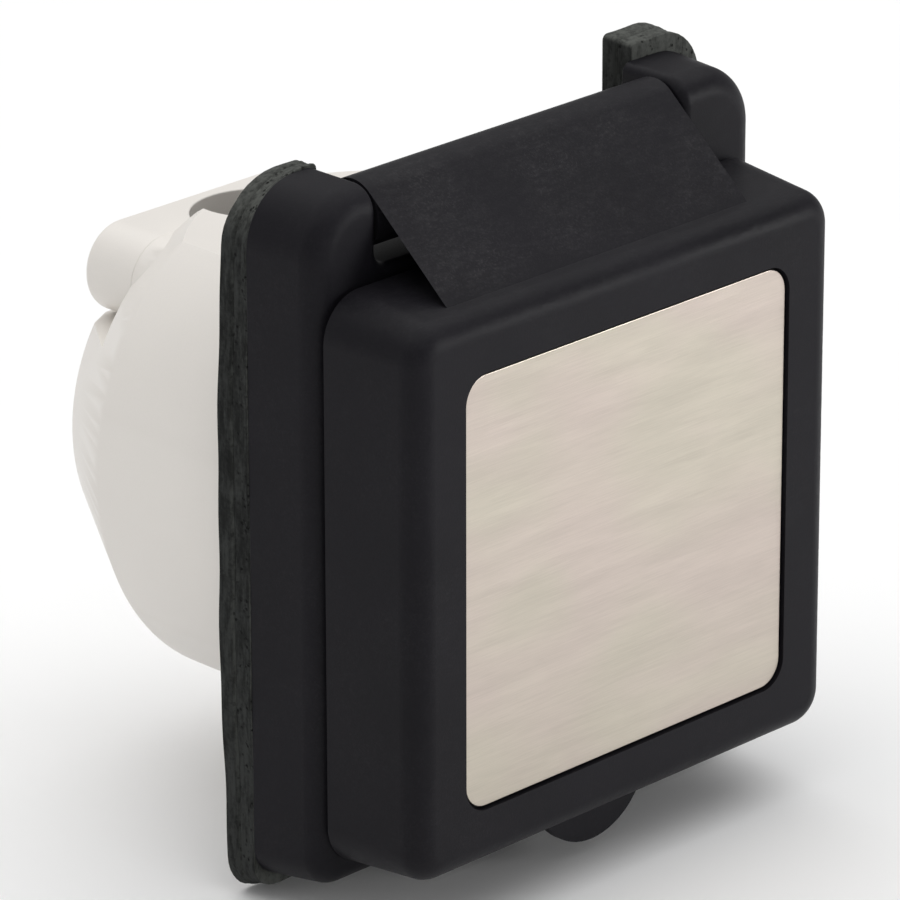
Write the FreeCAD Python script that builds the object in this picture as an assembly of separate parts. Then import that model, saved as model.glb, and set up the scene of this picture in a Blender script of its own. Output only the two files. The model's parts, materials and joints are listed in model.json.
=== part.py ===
"""Wall-mounted power inlet box with a hinged square lid, a gasket and a closed rear enclosure.

Millimetres. The origin is on the wall's face at the axis of the round housing. +X is to the right,
the lid faces -Y, the rear enclosure goes into the wall along +Y, and +Z is up.
"""

import FreeCAD, Part
import math
import os

# ---- Driving dimensions ----

# Wall gasket
GASKET_THICK = 6.9
GASKET_MARGIN_SIDE = 0.2  # how far the gasket stands out past the flange, each side
GASKET_MARGIN_TOP = 1.7
GASKET_MARGIN_BOTTOM = 3.5
GASKET_CORNERS = (13.0, 6.0)  # top and bottom
GASKET_NOTCH_WIDTH = 73.2
GASKET_NOTCH_DEPTH = 2.0  # below the floor of the flange's notch
GASKET_BORE_GAP = 0.9  # around the rear enclosure

# Flange moulding
FLANGE_DEPTH = 14.5
FLANGE_WIDTH = 107.4  # at the wall side
FLANGE_LOW = -56.5  # lower edge at the wall side
EAR_TOP = 66.3
FLANGE_TAPER = 1.8  # each side is this much smaller at the front
FLANGE_TAPER_LOW = 1.5  # the same for the lower edge
FLANGE_CORNERS = (11.0, 6.0)  # top and bottom
FLANGE_EDGE = 4.6  # front edge rounding
FLANGE_WALL = 4.0
FLANGE_SKIRT = 3.0
HUB_WALL = 3.9  # around the pocket that holds the collar's foot

# Hinge
HINGE_OUT = 8.0  # hinge axis in front of the flange's wall side
HINGE_HEIGHT = 59.9
BARREL_RADIUS = 6.0
STRAP_SPAN = (-37.4, 33.7)  # the left ear is the narrower one
STRAP_THICK = 2.4
STRAP_END_SLOPE = 1.15  # how far the strap's ends are undercut, for each unit of its thickness
STRAP_SLOPE = 41.0  # degrees from level
EAR_GAP = 0.6  # between strap and ear, each side
NOTCH_GAP = 1.7  # between barrel and the floor of the notch
NOTCH_CORNER = 3.0
EAR_INNER_EDGE = 1.8
PIN_RADIUS = 2.0
PIN_LENGTH = 100.0
PIN_RUNNING_GAP = 0.08
PIN_SEAT_GAP = 0.02
PIN_HOLE_END = 4.5  # wall left outside the pin's blind end

# Lid
LID_WIDTH = 99.4  # at the front
LID_TOP = 48.6
LID_LOW = -48.6
LID_DEPTH = 19.5
LID_TAPER = 1.8  # each side is this much larger at the rear
LID_TAPER_TOP = 2.0
LID_CORNER = 6.0
LID_REAR_CORNER = 8.0
LID_EDGE = 4.6
LID_WALL = 2.6
LID_FRONT_WALL = 4.0
LID_SEAM = 1.0  # between lid and flange
TAB_RADIUS = 13.45
TAB_CENTRE_DROP = 4.3  # tab circle's centre above the lid's lower edge
TAB_THICK = 1.8
TAB_OUT = 8.2  # tab's front face behind the lid's front

# Lid plate
PLATE_SIZE = 76.2
PLATE_THICK = 1.0
PLATE_CORNER = 4.5
PLATE_SUNK = 0.55
PLATE_GAP = 0.5
GLUE_THICK = 0.3
GLUE_INSET = 1.5

# Lid seal
SEAL_THICK = 1.8
SEAL_RELIEF = 0.2  # left between the seal and the collar's rim
SEAL_RIM = 1.2  # seal width past the collar's wall, each side
SEAL_RIB = 1.0
SEAL_RIB_HEIGHT = 1.4

# Plug collar
COLLAR_BORE = 31.5
COLLAR_WALL = 3.4
COLLAR_FOOT = 43.2
COLLAR_FOOT_THICK = 3.5
THREAD_DEPTH = 1.3
THREAD_PITCH = 3.2
THREAD_TURNS = 3
THREAD_START = 2.4  # first crest behind the collar's rim
THREAD_CREST = 1.1
COLLAR_CLEARANCE = 0.4
INSERT_SEAL_THICK = 0.8

# Insert that carries the contacts
INSERT_SIDE_GAP = 0.3
INSERT_FLANGE_THICK = 5.0
INSERT_FACE_RISE = 6.0  # front face ahead of the insert's flange
INSERT_REAR_RADIUS = 36.0
INSERT_REAR_DEPTH = 14.9
INSERT_SCREW_CIRCLE = 39.7
INSERT_SCREW_RADIUS = 2.0
INSERT_SCREW_HEAD = 3.6
INSERT_SCREW_END = 0.6  # insert left beyond the screw's point
CSK_DEPTH = 1.9

# Contacts
SHELL_RADIUS = 28.0
SHELL_THICK = 1.0
SHELL_BELOW_RIM = 0.9
SHELL_SEAT = 4.0  # how deep the shell sits in the insert
BLADE_CIRCLE = 15.0
BLADE_THICK = 2.4
BLADE_SPAN = 44.0  # degrees
NEUTRAL_SPAN = 52.0
HOOK_SPAN = 14.0
HOOK_DEPTH = 4.0
BLADE_BELOW_RIM = 3.0
GROUND_PIN_RADIUS = 2.8
GROUND_PIN_BELOW_RIM = 4.0
LINE_X_ANGLE = 210.0
LINE_Y_ANGLE = 330.0
NEUTRAL_ANGLE = 90.0
GROUND_ANGLE = 30.0

# Terminals
TERMINAL_RADIUS = 22.0
TERMINAL_SIZE = 12.0
TERMINAL_LENGTH = 13.2
TONGUE_THICK = 1.6
TONGUE_WIDTH = 7.0
WIRE_HOLE = 7.0
WIRE_HOLE_DEPTH = 11.0
TERMINAL_SCREW_RADIUS = 2.0
TERMINAL_HEAD_RADIUS = 3.6
TERMINAL_HEAD_THICK = 2.4
PLATE_PAD_THICK = 1.0
STRAP_METAL_WIDTH = 6.0
STRAP_METAL_THICK = 1.0

# Rear enclosure
DRUM_RADIUS = 46.3
DRUM_END = 38.1  # from the wall to the edge of the cone
RIM_RADIUS = DRUM_RADIUS - 1.0  # inside the gasket, up to just past the wall's face
RIM_END = 0.6
CONE_END_RADIUS = 33.0
CONE_END = 59.2
REAR_FACE = 61.8
REAR_FACE_RADIUS = 29.0
LAND_HEIGHT = 38.4  # flat on top of the drum
LAND_START = 20.0
ENCLOSURE_WALL = 2.5
RIM_SEAL_THICK = 1.0
TOWER_OFFSET = 26.0
TOWER_RADIUS = 5.6
TOWER_BORE = 3.9
TOWER_FLOOR = 3.0
ENCLOSURE_SCREW_RADIUS = 1.9
ENCLOSURE_SCREW_GRIP = 12.0
SCREW_HEAD_THICK = 2.4

# Cable clamp
CLAMP_WIDTH = 55.0
CLAMP_HEIGHT = 16.2
CLAMP_LOW = 18.9
CLAMP_END_FLAT = 0.1  # half the flat left at the middle of each round end
CLAMP_PARTING = 49.5
CLAMP_THICK = 12.0
CLAMP_EDGE = 1.2
CLAMP_SEAT_GAP = 0.35
CABLE_RADIUS = 12.0
CABLE_AXIS_AHEAD = 3.0  # cable axis ahead of the parting face
BOSS_LENGTH = 24.0
CLAMP_SCREW_SPACING = 44.0
CLAMP_SCREW_RADIUS = 2.0
CLAMP_SCREW_HOLE_GAP = 0.3
CLAMP_HEAD_RADIUS = 3.8
CLAMP_HEAD_SUNK = 3.0
CLAMP_SCREW_REACH = 12.0  # past the parting face
NUT_ACROSS_FLATS = 7.0
NUT_THICK = 3.2
NUT_GAP = 0.1
NUT_TOWER_RADIUS = 6.4
NUT_TOWER_LENGTH = 10.0

# Wall fixing
FIXING_SPACING = 82.0
FIXING_HOLE = 2.6
FIXING_BOSS = 5.5

DRIVE_WIDTH = 1.1
DRIVE_DEPTH = 1.2
REACH = 200.0  # longer than any piece, for tools that cut right through

# ---- Places worked out from the dimensions ----

FLANGE_REAR = -GASKET_THICK
FLANGE_FRONT = FLANGE_REAR - FLANGE_DEPTH
WALL_BACK = FLANGE_FRONT + FLANGE_WALL
LID_REAR = FLANGE_FRONT - LID_SEAM
LID_FRONT = LID_REAR - LID_DEPTH
LID_INSIDE = LID_FRONT + LID_FRONT_WALL
HINGE_Y = FLANGE_REAR - HINGE_OUT
NOTCH_SPAN = (STRAP_SPAN[0] - EAR_GAP, STRAP_SPAN[1] + EAR_GAP)
NOTCH_FLOOR = HINGE_HEIGHT - BARREL_RADIUS - NOTCH_GAP
RIM_FRONT = LID_INSIDE + SEAL_THICK + SEAL_RELIEF
COLLAR_OUT = COLLAR_BORE + COLLAR_WALL
CREST_RADIUS = COLLAR_OUT + THREAD_DEPTH
HOUSING_BORE = CREST_RADIUS + COLLAR_CLEARANCE
POCKET_RADIUS = COLLAR_FOOT + COLLAR_CLEARANCE
FOOT_FRONT = WALL_BACK + INSERT_SEAL_THICK
FOOT_REAR = FOOT_FRONT + COLLAR_FOOT_THICK
INSERT_FLANGE_REAR = FOOT_REAR + INSERT_FLANGE_THICK
INSERT_FACE = FOOT_REAR - INSERT_FACE_RISE
INSERT_REAR = INSERT_FLANGE_REAR + INSERT_REAR_DEPTH
ENCLOSURE_FRONT = FLANGE_REAR + RIM_SEAL_THICK
DRUM_BORE = DRUM_RADIUS - ENCLOSURE_WALL
CLAMP_REAR = CLAMP_PARTING + CLAMP_THICK
CLAMP_MIDDLE = CLAMP_LOW + CLAMP_HEIGHT / 2
CABLE_Y = CLAMP_PARTING - CABLE_AXIS_AHEAD


# ---- Shape helpers ----


def point(x, y, z):
    return FreeCAD.Vector(x, y, z)


ALONG_X, ALONG_Y, ALONG_Z = point(1, 0, 0), point(0, 1, 0), point(0, 0, 1)


def block(x_span, y_span, z_span):
    """A box from three (low, high) spans."""
    size = [high - low for low, high in (x_span, y_span, z_span)]
    return Part.makeBox(*size, point(x_span[0], y_span[0], z_span[0]))


def rod(radius, start, axis, length):
    return Part.makeCylinder(radius, length, start, axis)


def rod_y(radius, y_low, y_high, x=0.0, z=0.0):
    return rod(radius, point(x, y_low, z), ALONG_Y, y_high - y_low)


def ring_y(outer, inner, y_low, y_high):
    return rod_y(outer, y_low, y_high).cut(rod_y(inner, y_low, y_high))


def cone_y(radius_low, radius_high, y_low, y_high, x=0.0, z=0.0):
    return Part.makeCone(radius_low, radius_high, y_high - y_low, point(x, y_low, z), ALONG_Y)


def turned(profile):
    """A solid of revolution about Y from (radius, y) points."""
    corners = [point(radius, y, 0) for radius, y in profile]
    face = Part.Face(Part.makePolygon(corners + corners[:1]))
    return face.revolve(point(0, 0, 0), ALONG_Y, 360)


def plate_x(profile, x_span):
    """A plate across X whose outline is a list of (y, z) points."""
    corners = [point(x_span[0], y, z) for y, z in profile]
    face = Part.Face(Part.makePolygon(corners + corners[:1]))
    return face.extrude(point(x_span[1] - x_span[0], 0, 0))


def sloped_plate(profile):
    """A plate across X whose corners are ((y, z), x_span) pairs, so its ends can slope."""
    sides = []
    for side in (0, 1):
        sides.append([point(x_span[side], y, z) for (y, z), x_span in profile])
    faces = [Part.Face(Part.makePolygon(side + side[:1])) for side in sides]
    count = len(profile)
    for i in range(count):
        j = (i + 1) % count
        corners = [sides[0][i], sides[0][j], sides[1][j], sides[1][i]]
        faces.append(Part.Face(Part.makePolygon(corners + corners[:1])))
    return Part.makeSolid(Part.makeShell(faces))


def outline(x_span, z_span, corners, y):
    """A rectangle in the plane at y, with a (top, bottom) pair of corner radii."""
    top, bottom = corners
    edges = []
    centres = [
        (x_span[1] - top, z_span[1] - top, top, 0),
        (x_span[0] + top, z_span[1] - top, top, 90),
        (x_span[0] + bottom, z_span[0] + bottom, bottom, 180),
        (x_span[1] - bottom, z_span[0] + bottom, bottom, 270),
    ]
    ends = []
    for x, z, radius, turn in centres:
        start, middle, finish = [
            point(x + radius * math.cos(a), y, z + radius * math.sin(a))
            for a in (math.radians(turn), math.radians(turn + 45), math.radians(turn + 90))
        ]
        ends.append((start, middle, finish))
    for (start, middle, finish), (after, _, _) in zip(ends, ends[1:] + ends[:1]):
        edges.append(Part.Arc(start, middle, finish).toShape())
        edges.append(Part.LineSegment(finish, after).toShape())
    return Part.Wire(edges)


def prism(x_span, z_span, corners, y_low, y_high):
    wire = outline(x_span, z_span, corners, y_low)
    return Part.Face(wire).extrude(point(0, y_high - y_low, 0))


def square_prism(half, corner, y_low, y_high):
    return prism(both_sides(half), both_sides(half), (corner, corner), y_low, y_high)


def drafted(front, rear):
    """A block whose sides slope from the front outline to the rear one."""
    return Part.makeLoft([outline(*front), outline(*rear)], True, True)


def turn_y(shape, degrees):
    """The shape carried round Y; degrees run from +X towards +Z."""
    turned_copy = shape.copy()
    turned_copy.rotate(point(0, 0, 0), ALONG_Y, -degrees)
    return turned_copy


def joined(shapes):
    whole = shapes[0].fuse(shapes[1:]) if len(shapes) > 1 else shapes[0]
    return whole.removeSplitter()


def without(shape, tools):
    return shape.cut(tools).removeSplitter() if tools else shape


def edges_in_plane(shape, y):
    """The edges that lie wholly in the plane at y."""
    near = 1e-4
    return [
        e for e in shape.Edges if abs(e.BoundBox.YMin - y) < near and abs(e.BoundBox.YMax - y) < near
    ]


def notch_rim(shape):
    """The outer edges of the hinge notch: up each ear, over its top and along the floor's front."""
    near = 1e-3
    found = []
    for edge in shape.Edges:
        box = edge.BoundBox
        behind = box.YMin > FLANGE_REAR - near
        floor_seam = box.YLength > 1.0 and box.ZMax < NOTCH_FLOOR + NOTCH_CORNER + near
        inside = box.XMin > NOTCH_SPAN[0] - near and box.XMax < NOTCH_SPAN[1] + near
        on_side = any(abs(box.XMin - x) < near and abs(box.XMax - x) < near for x in NOTCH_SPAN)
        on_front = inside and box.YMax < FLANGE_FRONT + near and box.ZMin > NOTCH_FLOOR - near
        if not behind and not floor_seam and (on_side or on_front):
            found.append(edge)
    return found


def both_sides(distance):
    return (-distance, distance)


def fixing_places():
    half = FIXING_SPACING / 2
    return [(x, z) for x in both_sides(half) for z in both_sides(half)]


def quarter_places(radius):
    """Four places on a circle about Y, at the top, the sides and the bottom."""
    return [(radius, 0), (0, radius), (-radius, 0), (0, -radius)]


# ---- Flange, gasket and hinge pin ----


def flange_body():
    half = FLANGE_WIDTH / 2
    front_x = both_sides(half - FLANGE_TAPER)
    body = drafted(
        (front_x, (FLANGE_LOW + FLANGE_TAPER_LOW, EAR_TOP), FLANGE_CORNERS, FLANGE_FRONT),
        (both_sides(half), (FLANGE_LOW, EAR_TOP), FLANGE_CORNERS, FLANGE_REAR),
    )
    body = body.makeFillet(FLANGE_EDGE, edges_in_plane(body, FLANGE_FRONT))
    corners = (NOTCH_CORNER, NOTCH_CORNER)
    notch = prism(NOTCH_SPAN, (NOTCH_FLOOR, REACH), corners, FLANGE_FRONT, FLANGE_REAR)
    body = body.cut(notch)
    return body.makeFillet(EAR_INNER_EDGE, notch_rim(body))


def flange_pockets():
    """The corner spaces behind the flange's face that keep its wall even."""
    half = FLANGE_WIDTH / 2 - FLANGE_TAPER - FLANGE_SKIRT
    low = FLANGE_LOW + FLANGE_TAPER_LOW + FLANGE_SKIRT
    high = NOTCH_FLOOR - FLANGE_SKIRT
    corners = [max(corner - FLANGE_SKIRT, FLANGE_SKIRT) for corner in FLANGE_CORNERS]
    hollow = prism(both_sides(half), (low, high), corners, WALL_BACK, FLANGE_REAR)
    hub = rod_y(POCKET_RADIUS + HUB_WALL, WALL_BACK, FLANGE_REAR)
    bosses = [rod_y(FIXING_BOSS, WALL_BACK, FLANGE_REAR, x, z) for x, z in fixing_places()]
    return hollow.cut([hub] + bosses)


def insert_screw_cutter(radius, y_low, y_high):
    return [rod_y(radius, y_low, y_high, x, z) for x, z in quarter_places(INSERT_SCREW_CIRCLE)]


def front_housing():
    pin_end = FLANGE_WIDTH / 2 - PIN_HOLE_END
    pin_hole = rod(
        PIN_RADIUS + PIN_SEAT_GAP, point(-pin_end, HINGE_Y, HINGE_HEIGHT), ALONG_X, pin_end + FLANGE_WIDTH
    )
    tools = [
        flange_pockets(),
        rod_y(HOUSING_BORE, FLANGE_FRONT, WALL_BACK),
        rod_y(POCKET_RADIUS, WALL_BACK, FLANGE_REAR),
        pin_hole,
    ]
    tools += [rod_y(FIXING_HOLE, FLANGE_FRONT, FLANGE_REAR, x, z) for x, z in fixing_places()]
    for x, z in quarter_places(INSERT_SCREW_CIRCLE):
        tools.append(rod_y(INSERT_SCREW_RADIUS + 0.2, FLANGE_FRONT, WALL_BACK, x, z))
        tools.append(
            cone_y(INSERT_SCREW_HEAD + 0.1, INSERT_SCREW_RADIUS, FLANGE_FRONT, FLANGE_FRONT + CSK_DEPTH, x, z)
        )
    return without(flange_body(), tools)


def mounting_gasket():
    half = FLANGE_WIDTH / 2 + GASKET_MARGIN_SIDE
    z_span = (FLANGE_LOW - GASKET_MARGIN_BOTTOM, EAR_TOP + GASKET_MARGIN_TOP)
    sheet = prism(both_sides(half), z_span, GASKET_CORNERS, FLANGE_REAR, 0)
    notch_floor = NOTCH_FLOOR - GASKET_NOTCH_DEPTH
    corners = (NOTCH_CORNER, NOTCH_CORNER)
    notch = prism(both_sides(GASKET_NOTCH_WIDTH / 2), (notch_floor, REACH), corners, FLANGE_REAR, 0)
    tools = [notch, rod_y(DRUM_RADIUS + GASKET_BORE_GAP, FLANGE_REAR, 0)]
    tools += [rod_y(FIXING_HOLE, FLANGE_REAR, 0, x, z) for x, z in fixing_places()]
    return without(sheet, tools)


def hinge_pin():
    start = -FLANGE_WIDTH / 2 + PIN_HOLE_END
    pin = rod(PIN_RADIUS, point(start, HINGE_Y, HINGE_HEIGHT), ALONG_X, PIN_LENGTH)
    return pin.makeChamfer(0.4, [e for e in pin.Edges if len(e.Vertexes) == 1])


# ---- Collar, insert and contacts ----


def plug_collar():
    profile = [(COLLAR_BORE, FOOT_REAR), (COLLAR_BORE, RIM_FRONT), (COLLAR_OUT - 0.6, RIM_FRONT)]
    profile.append((COLLAR_OUT, RIM_FRONT + 0.6))
    for turn in range(THREAD_TURNS):
        start = RIM_FRONT + THREAD_START + turn * THREAD_PITCH
        rise = (THREAD_PITCH - THREAD_CREST) / 4
        profile += [
            (COLLAR_OUT, start),
            (CREST_RADIUS, start + rise),
            (CREST_RADIUS, start + rise + THREAD_CREST),
            (COLLAR_OUT, start + 2 * rise + THREAD_CREST),
        ]
    profile += [(COLLAR_OUT, FOOT_FRONT), (COLLAR_FOOT, FOOT_FRONT), (COLLAR_FOOT, FOOT_REAR)]
    return without(turned(profile), insert_screw_cutter(INSERT_SCREW_RADIUS + 0.2, FOOT_FRONT, FOOT_REAR))


def insert_seal():
    ring = ring_y(COLLAR_FOOT, COLLAR_OUT + 0.2, WALL_BACK, FOOT_FRONT)
    return without(ring, insert_screw_cutter(INSERT_SCREW_RADIUS + 0.2, WALL_BACK, FOOT_FRONT))


def blade_sector(span, y_low, y_high, growth=0.0, extra=0.0):
    """A curved bar on the blade circle, centred on +X; extra lengthens one end in degrees."""
    outer = BLADE_CIRCLE + BLADE_THICK / 2 + growth
    inner = BLADE_CIRCLE - BLADE_THICK / 2 - growth
    margin = math.degrees(growth / BLADE_CIRCLE)
    angle_low = -span / 2 - margin
    angle_high = span / 2 + margin + extra
    corners = []
    for angle in (angle_low, (angle_low + angle_high) / 2, angle_high):
        a = math.radians(angle)
        corners.append((math.cos(a), math.sin(a)))

    def arc(radius):
        a, b, c = [point(radius * cx, y_low, radius * cz) for cx, cz in corners]
        return a, c, Part.Arc(a, b, c).toShape()

    outer_start, outer_end, outer_arc = arc(outer)
    inner_start, inner_end, inner_arc = arc(inner)
    edges = [
        outer_arc,
        Part.LineSegment(outer_end, inner_end).toShape(),
        inner_arc,
        Part.LineSegment(inner_start, outer_start).toShape(),
    ]
    face = Part.Face(Part.Wire(Part.__sortEdges__(edges)))
    return face.extrude(point(0, y_high - y_low, 0))


def blade(span, angle):
    tip = RIM_FRONT + BLADE_BELOW_RIM
    bar = blade_sector(span, tip, INSERT_REAR)
    hook = blade_sector(span, tip, tip + HOOK_DEPTH, extra=HOOK_SPAN)
    return turn_y(joined([bar, hook]), angle)


BLADES = [
    ("blade_line_x", BLADE_SPAN, LINE_X_ANGLE),
    ("blade_line_y", BLADE_SPAN, LINE_Y_ANGLE),
    ("blade_neutral", NEUTRAL_SPAN, NEUTRAL_ANGLE),
]


def ground_pin():
    tip = RIM_FRONT + GROUND_PIN_BELOW_RIM
    dome = Part.makeSphere(GROUND_PIN_RADIUS, point(0, tip + GROUND_PIN_RADIUS, 0))
    return joined([rod_y(GROUND_PIN_RADIUS, tip + GROUND_PIN_RADIUS, INSERT_REAR), dome])


def contact_shell():
    front = RIM_FRONT + SHELL_BELOW_RIM
    tube = ring_y(SHELL_RADIUS, SHELL_RADIUS - SHELL_THICK, front, INSERT_FACE + SHELL_SEAT)
    key_slot = block((-2.0, 2.0), (front, front + 5.0), (SHELL_RADIUS - 3.0, SHELL_RADIUS + 3.0))
    return without(tube, [key_slot])


def strap_in_frame(growth=0.0):
    """The strip from the contact shell's edge to the ground terminal, before it is turned."""
    outer = SHELL_RADIUS - SHELL_THICK / 2
    return block(
        (outer - STRAP_METAL_THICK - growth, outer + growth),
        (INSERT_FACE + SHELL_SEAT, INSERT_REAR),
        both_sides(STRAP_METAL_WIDTH / 2 + growth),
    )


def ground_strap():
    return turn_y(strap_in_frame(), GROUND_ANGLE)


def inlet_insert():
    plug_radius = COLLAR_BORE - INSERT_SIDE_GAP
    body = joined(
        [
            rod_y(plug_radius, INSERT_FACE, FOOT_REAR),
            rod_y(COLLAR_FOOT, FOOT_REAR, INSERT_FLANGE_REAR),
            rod_y(INSERT_REAR_RADIUS, INSERT_FLANGE_REAR, INSERT_REAR),
        ]
    )
    fit = 0.05
    tools = [
        ring_y(SHELL_RADIUS + fit, SHELL_RADIUS - SHELL_THICK - fit, INSERT_FACE, INSERT_FACE + SHELL_SEAT),
        rod_y(GROUND_PIN_RADIUS + fit, INSERT_FACE, INSERT_REAR),
        turn_y(strap_in_frame(fit), GROUND_ANGLE),
    ]
    for _, span, angle in BLADES:
        tools.append(turn_y(blade_sector(span, INSERT_FACE, INSERT_REAR, growth=fit), angle))
    tools += insert_screw_cutter(INSERT_SCREW_RADIUS, FOOT_REAR, INSERT_FLANGE_REAR - INSERT_SCREW_END)
    for x in both_sides(TOWER_OFFSET):
        tools.append(rod_y(ENCLOSURE_SCREW_RADIUS, INSERT_REAR - ENCLOSURE_SCREW_GRIP, INSERT_REAR, x))
    return without(body, tools)


def cross_recess(y_face, inward, x=0.0, z=0.0):
    """A cross-shaped driver recess sunk from a head's face."""
    span = (y_face, y_face + inward * DRIVE_DEPTH)
    y_span = (min(span), max(span))
    arm, half = 2.0, DRIVE_WIDTH / 2
    return [
        block((x - arm, x + arm), y_span, (z - half, z + half)),
        block((x - half, x + half), y_span, (z - arm, z + arm)),
    ]


def insert_screws():
    screws = []
    end = INSERT_FLANGE_REAR - INSERT_SCREW_END
    for x, z in quarter_places(INSERT_SCREW_CIRCLE):
        head = cone_y(INSERT_SCREW_HEAD, INSERT_SCREW_RADIUS, FLANGE_FRONT, FLANGE_FRONT + CSK_DEPTH, x, z)
        shank = rod_y(INSERT_SCREW_RADIUS, FLANGE_FRONT + CSK_DEPTH, end, x, z)
        screws.append(without(joined([head, shank]), cross_recess(FLANGE_FRONT, 1, x, z)))
    return Part.makeCompound(screws)


# ---- Terminals ----


def terminal(angle, tongue_start):
    """A tunnel terminal on the insert's rear face, with a tongue to its contact."""
    half = TERMINAL_SIZE / 2
    end = INSERT_REAR + TERMINAL_LENGTH
    body = block((TERMINAL_RADIUS - half, TERMINAL_RADIUS + half), (INSERT_REAR, end), both_sides(half))
    tongue = block(
        (tongue_start, TERMINAL_RADIUS), (INSERT_REAR, INSERT_REAR + TONGUE_THICK), both_sides(TONGUE_WIDTH / 2)
    )
    tunnel = block(
        (TERMINAL_RADIUS - WIRE_HOLE / 2, TERMINAL_RADIUS + WIRE_HOLE / 2),
        (end - WIRE_HOLE_DEPTH, end),
        both_sides(WIRE_HOLE / 2),
    )
    screw_y = end - WIRE_HOLE_DEPTH / 2
    screw_hole = rod(TERMINAL_SCREW_RADIUS, point(TERMINAL_RADIUS, screw_y, 0), ALONG_X, TERMINAL_SIZE)
    return turn_y(without(joined([body, tongue]), [tunnel, screw_hole]), angle)


TERMINALS = [
    ("terminal_line_x", LINE_X_ANGLE, BLADE_CIRCLE - BLADE_THICK / 2),
    ("terminal_line_y", LINE_Y_ANGLE, BLADE_CIRCLE - BLADE_THICK / 2),
    ("terminal_neutral", NEUTRAL_ANGLE, BLADE_CIRCLE - BLADE_THICK / 2),
    ("terminal_ground", GROUND_ANGLE, -GROUND_PIN_RADIUS),
]


def terminal_screws():
    screw_y = INSERT_REAR + TERMINAL_LENGTH - WIRE_HOLE_DEPTH / 2
    pad_face = TERMINAL_RADIUS + WIRE_HOLE / 2
    head_start = TERMINAL_RADIUS + TERMINAL_SIZE / 2 + 0.4
    shank = rod(TERMINAL_SCREW_RADIUS, point(pad_face, screw_y, 0), ALONG_X, head_start - pad_face)
    head = rod(TERMINAL_HEAD_RADIUS, point(head_start, screw_y, 0), ALONG_X, TERMINAL_HEAD_THICK)
    top = head_start + TERMINAL_HEAD_THICK
    slot = block((top - 1.0, top), (screw_y - 5, screw_y + 5), both_sides(DRIVE_WIDTH / 2))
    screw = without(joined([shank, head]), [slot])
    return Part.makeCompound([turn_y(screw, angle) for _, angle, _ in TERMINALS])


def pressure_plates():
    pad_face = TERMINAL_RADIUS + WIRE_HOLE / 2
    end = INSERT_REAR + TERMINAL_LENGTH
    pad = block(
        (pad_face - PLATE_PAD_THICK, pad_face),
        (end - WIRE_HOLE_DEPTH + 1.0, end - 1.0),
        both_sides(WIRE_HOLE / 2 - 0.2),
    )
    return Part.makeCompound([turn_y(pad, angle) for _, angle, _ in TERMINALS])


# ---- Lid ----


def lid_block(inset, y_front, corner_front, corner_rear):
    """The lid's outer form, or its hollow when inset by the wall."""
    front_x = LID_WIDTH / 2 - inset
    rear_x = front_x + LID_TAPER
    front_z = (LID_LOW + inset, LID_TOP - inset)
    rear_z = (front_z[0] - LID_TAPER, front_z[1] + LID_TAPER_TOP)
    return drafted(
        (both_sides(front_x), front_z, (corner_front, corner_front), y_front),
        (both_sides(rear_x), rear_z, (corner_rear, corner_rear), LID_REAR),
    )


def hinge_strap():
    """The sloping sheet from the lid's top to the hinge barrel, and the barrel."""
    slope = math.radians(STRAP_SLOPE)
    along = (math.cos(slope), math.sin(slope))
    outward = (-math.sin(slope), math.cos(slope))
    foot_z = LID_TOP - LID_WALL / 2

    def on_plane(depth):
        """Points where the sheet's face, this deep in the barrel, is tangent and meets the lid."""
        reach = BARREL_RADIUS - depth
        top = (HINGE_Y + reach * outward[0], HINGE_HEIGHT + reach * outward[1])
        run = (top[1] - foot_z) / along[1]
        return top, (top[0] - run * along[0], foot_z)

    outer_top, outer_foot = on_plane(0.0)
    inner_top, inner_foot = on_plane(STRAP_THICK)
    undercut = STRAP_THICK * STRAP_END_SLOPE
    inner_span = (STRAP_SPAN[0] + undercut, STRAP_SPAN[1] - undercut)
    sheet = sloped_plate(
        [(outer_foot, STRAP_SPAN), (outer_top, STRAP_SPAN), (inner_top, inner_span), (inner_foot, inner_span)]
    )
    start = point(STRAP_SPAN[0], HINGE_Y, HINGE_HEIGHT)
    return [sheet, rod(BARREL_RADIUS, start, ALONG_X, STRAP_SPAN[1] - STRAP_SPAN[0])]


def lid_shell():
    outside = lid_block(0, LID_FRONT, LID_CORNER, LID_REAR_CORNER)
    outside = outside.makeFillet(LID_EDGE, edges_in_plane(outside, LID_FRONT))
    hollow = lid_block(LID_WALL, LID_INSIDE, LID_CORNER - 1.0, LID_REAR_CORNER - 1.5)
    recess_floor = LID_FRONT + PLATE_SUNK + PLATE_THICK + GLUE_THICK
    recess = square_prism(PLATE_SIZE / 2 + PLATE_GAP, PLATE_CORNER + PLATE_GAP, LID_FRONT, recess_floor)
    tab_front = LID_FRONT + TAB_OUT
    tab = rod_y(TAB_RADIUS, tab_front, tab_front + TAB_THICK, 0, LID_LOW + TAB_CENTRE_DROP)
    tab = tab.cut(block(both_sides(REACH), both_sides(REACH), (LID_LOW + LID_WALL / 2, REACH)))
    rib_end = LID_INSIDE + SEAL_RIB_HEIGHT
    inner_rib = ring_y(
        COLLAR_BORE - SEAL_RIM, COLLAR_BORE - SEAL_RIM - SEAL_RIB, LID_INSIDE, rib_end
    )
    outer_rib = ring_y(
        CREST_RADIUS + SEAL_RIM + SEAL_RIB, CREST_RADIUS + SEAL_RIM, LID_INSIDE, rib_end
    )
    shell = joined([outside.cut([hollow, recess]), tab, inner_rib, outer_rib] + hinge_strap())
    pin_bore = rod(
        PIN_RADIUS + PIN_RUNNING_GAP, point(-REACH / 2, HINGE_Y, HINGE_HEIGHT), ALONG_X, REACH
    )
    return without(shell, [pin_bore])


def lid_plate():
    front = LID_FRONT + PLATE_SUNK
    return square_prism(PLATE_SIZE / 2, PLATE_CORNER, front, front + PLATE_THICK)


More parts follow.
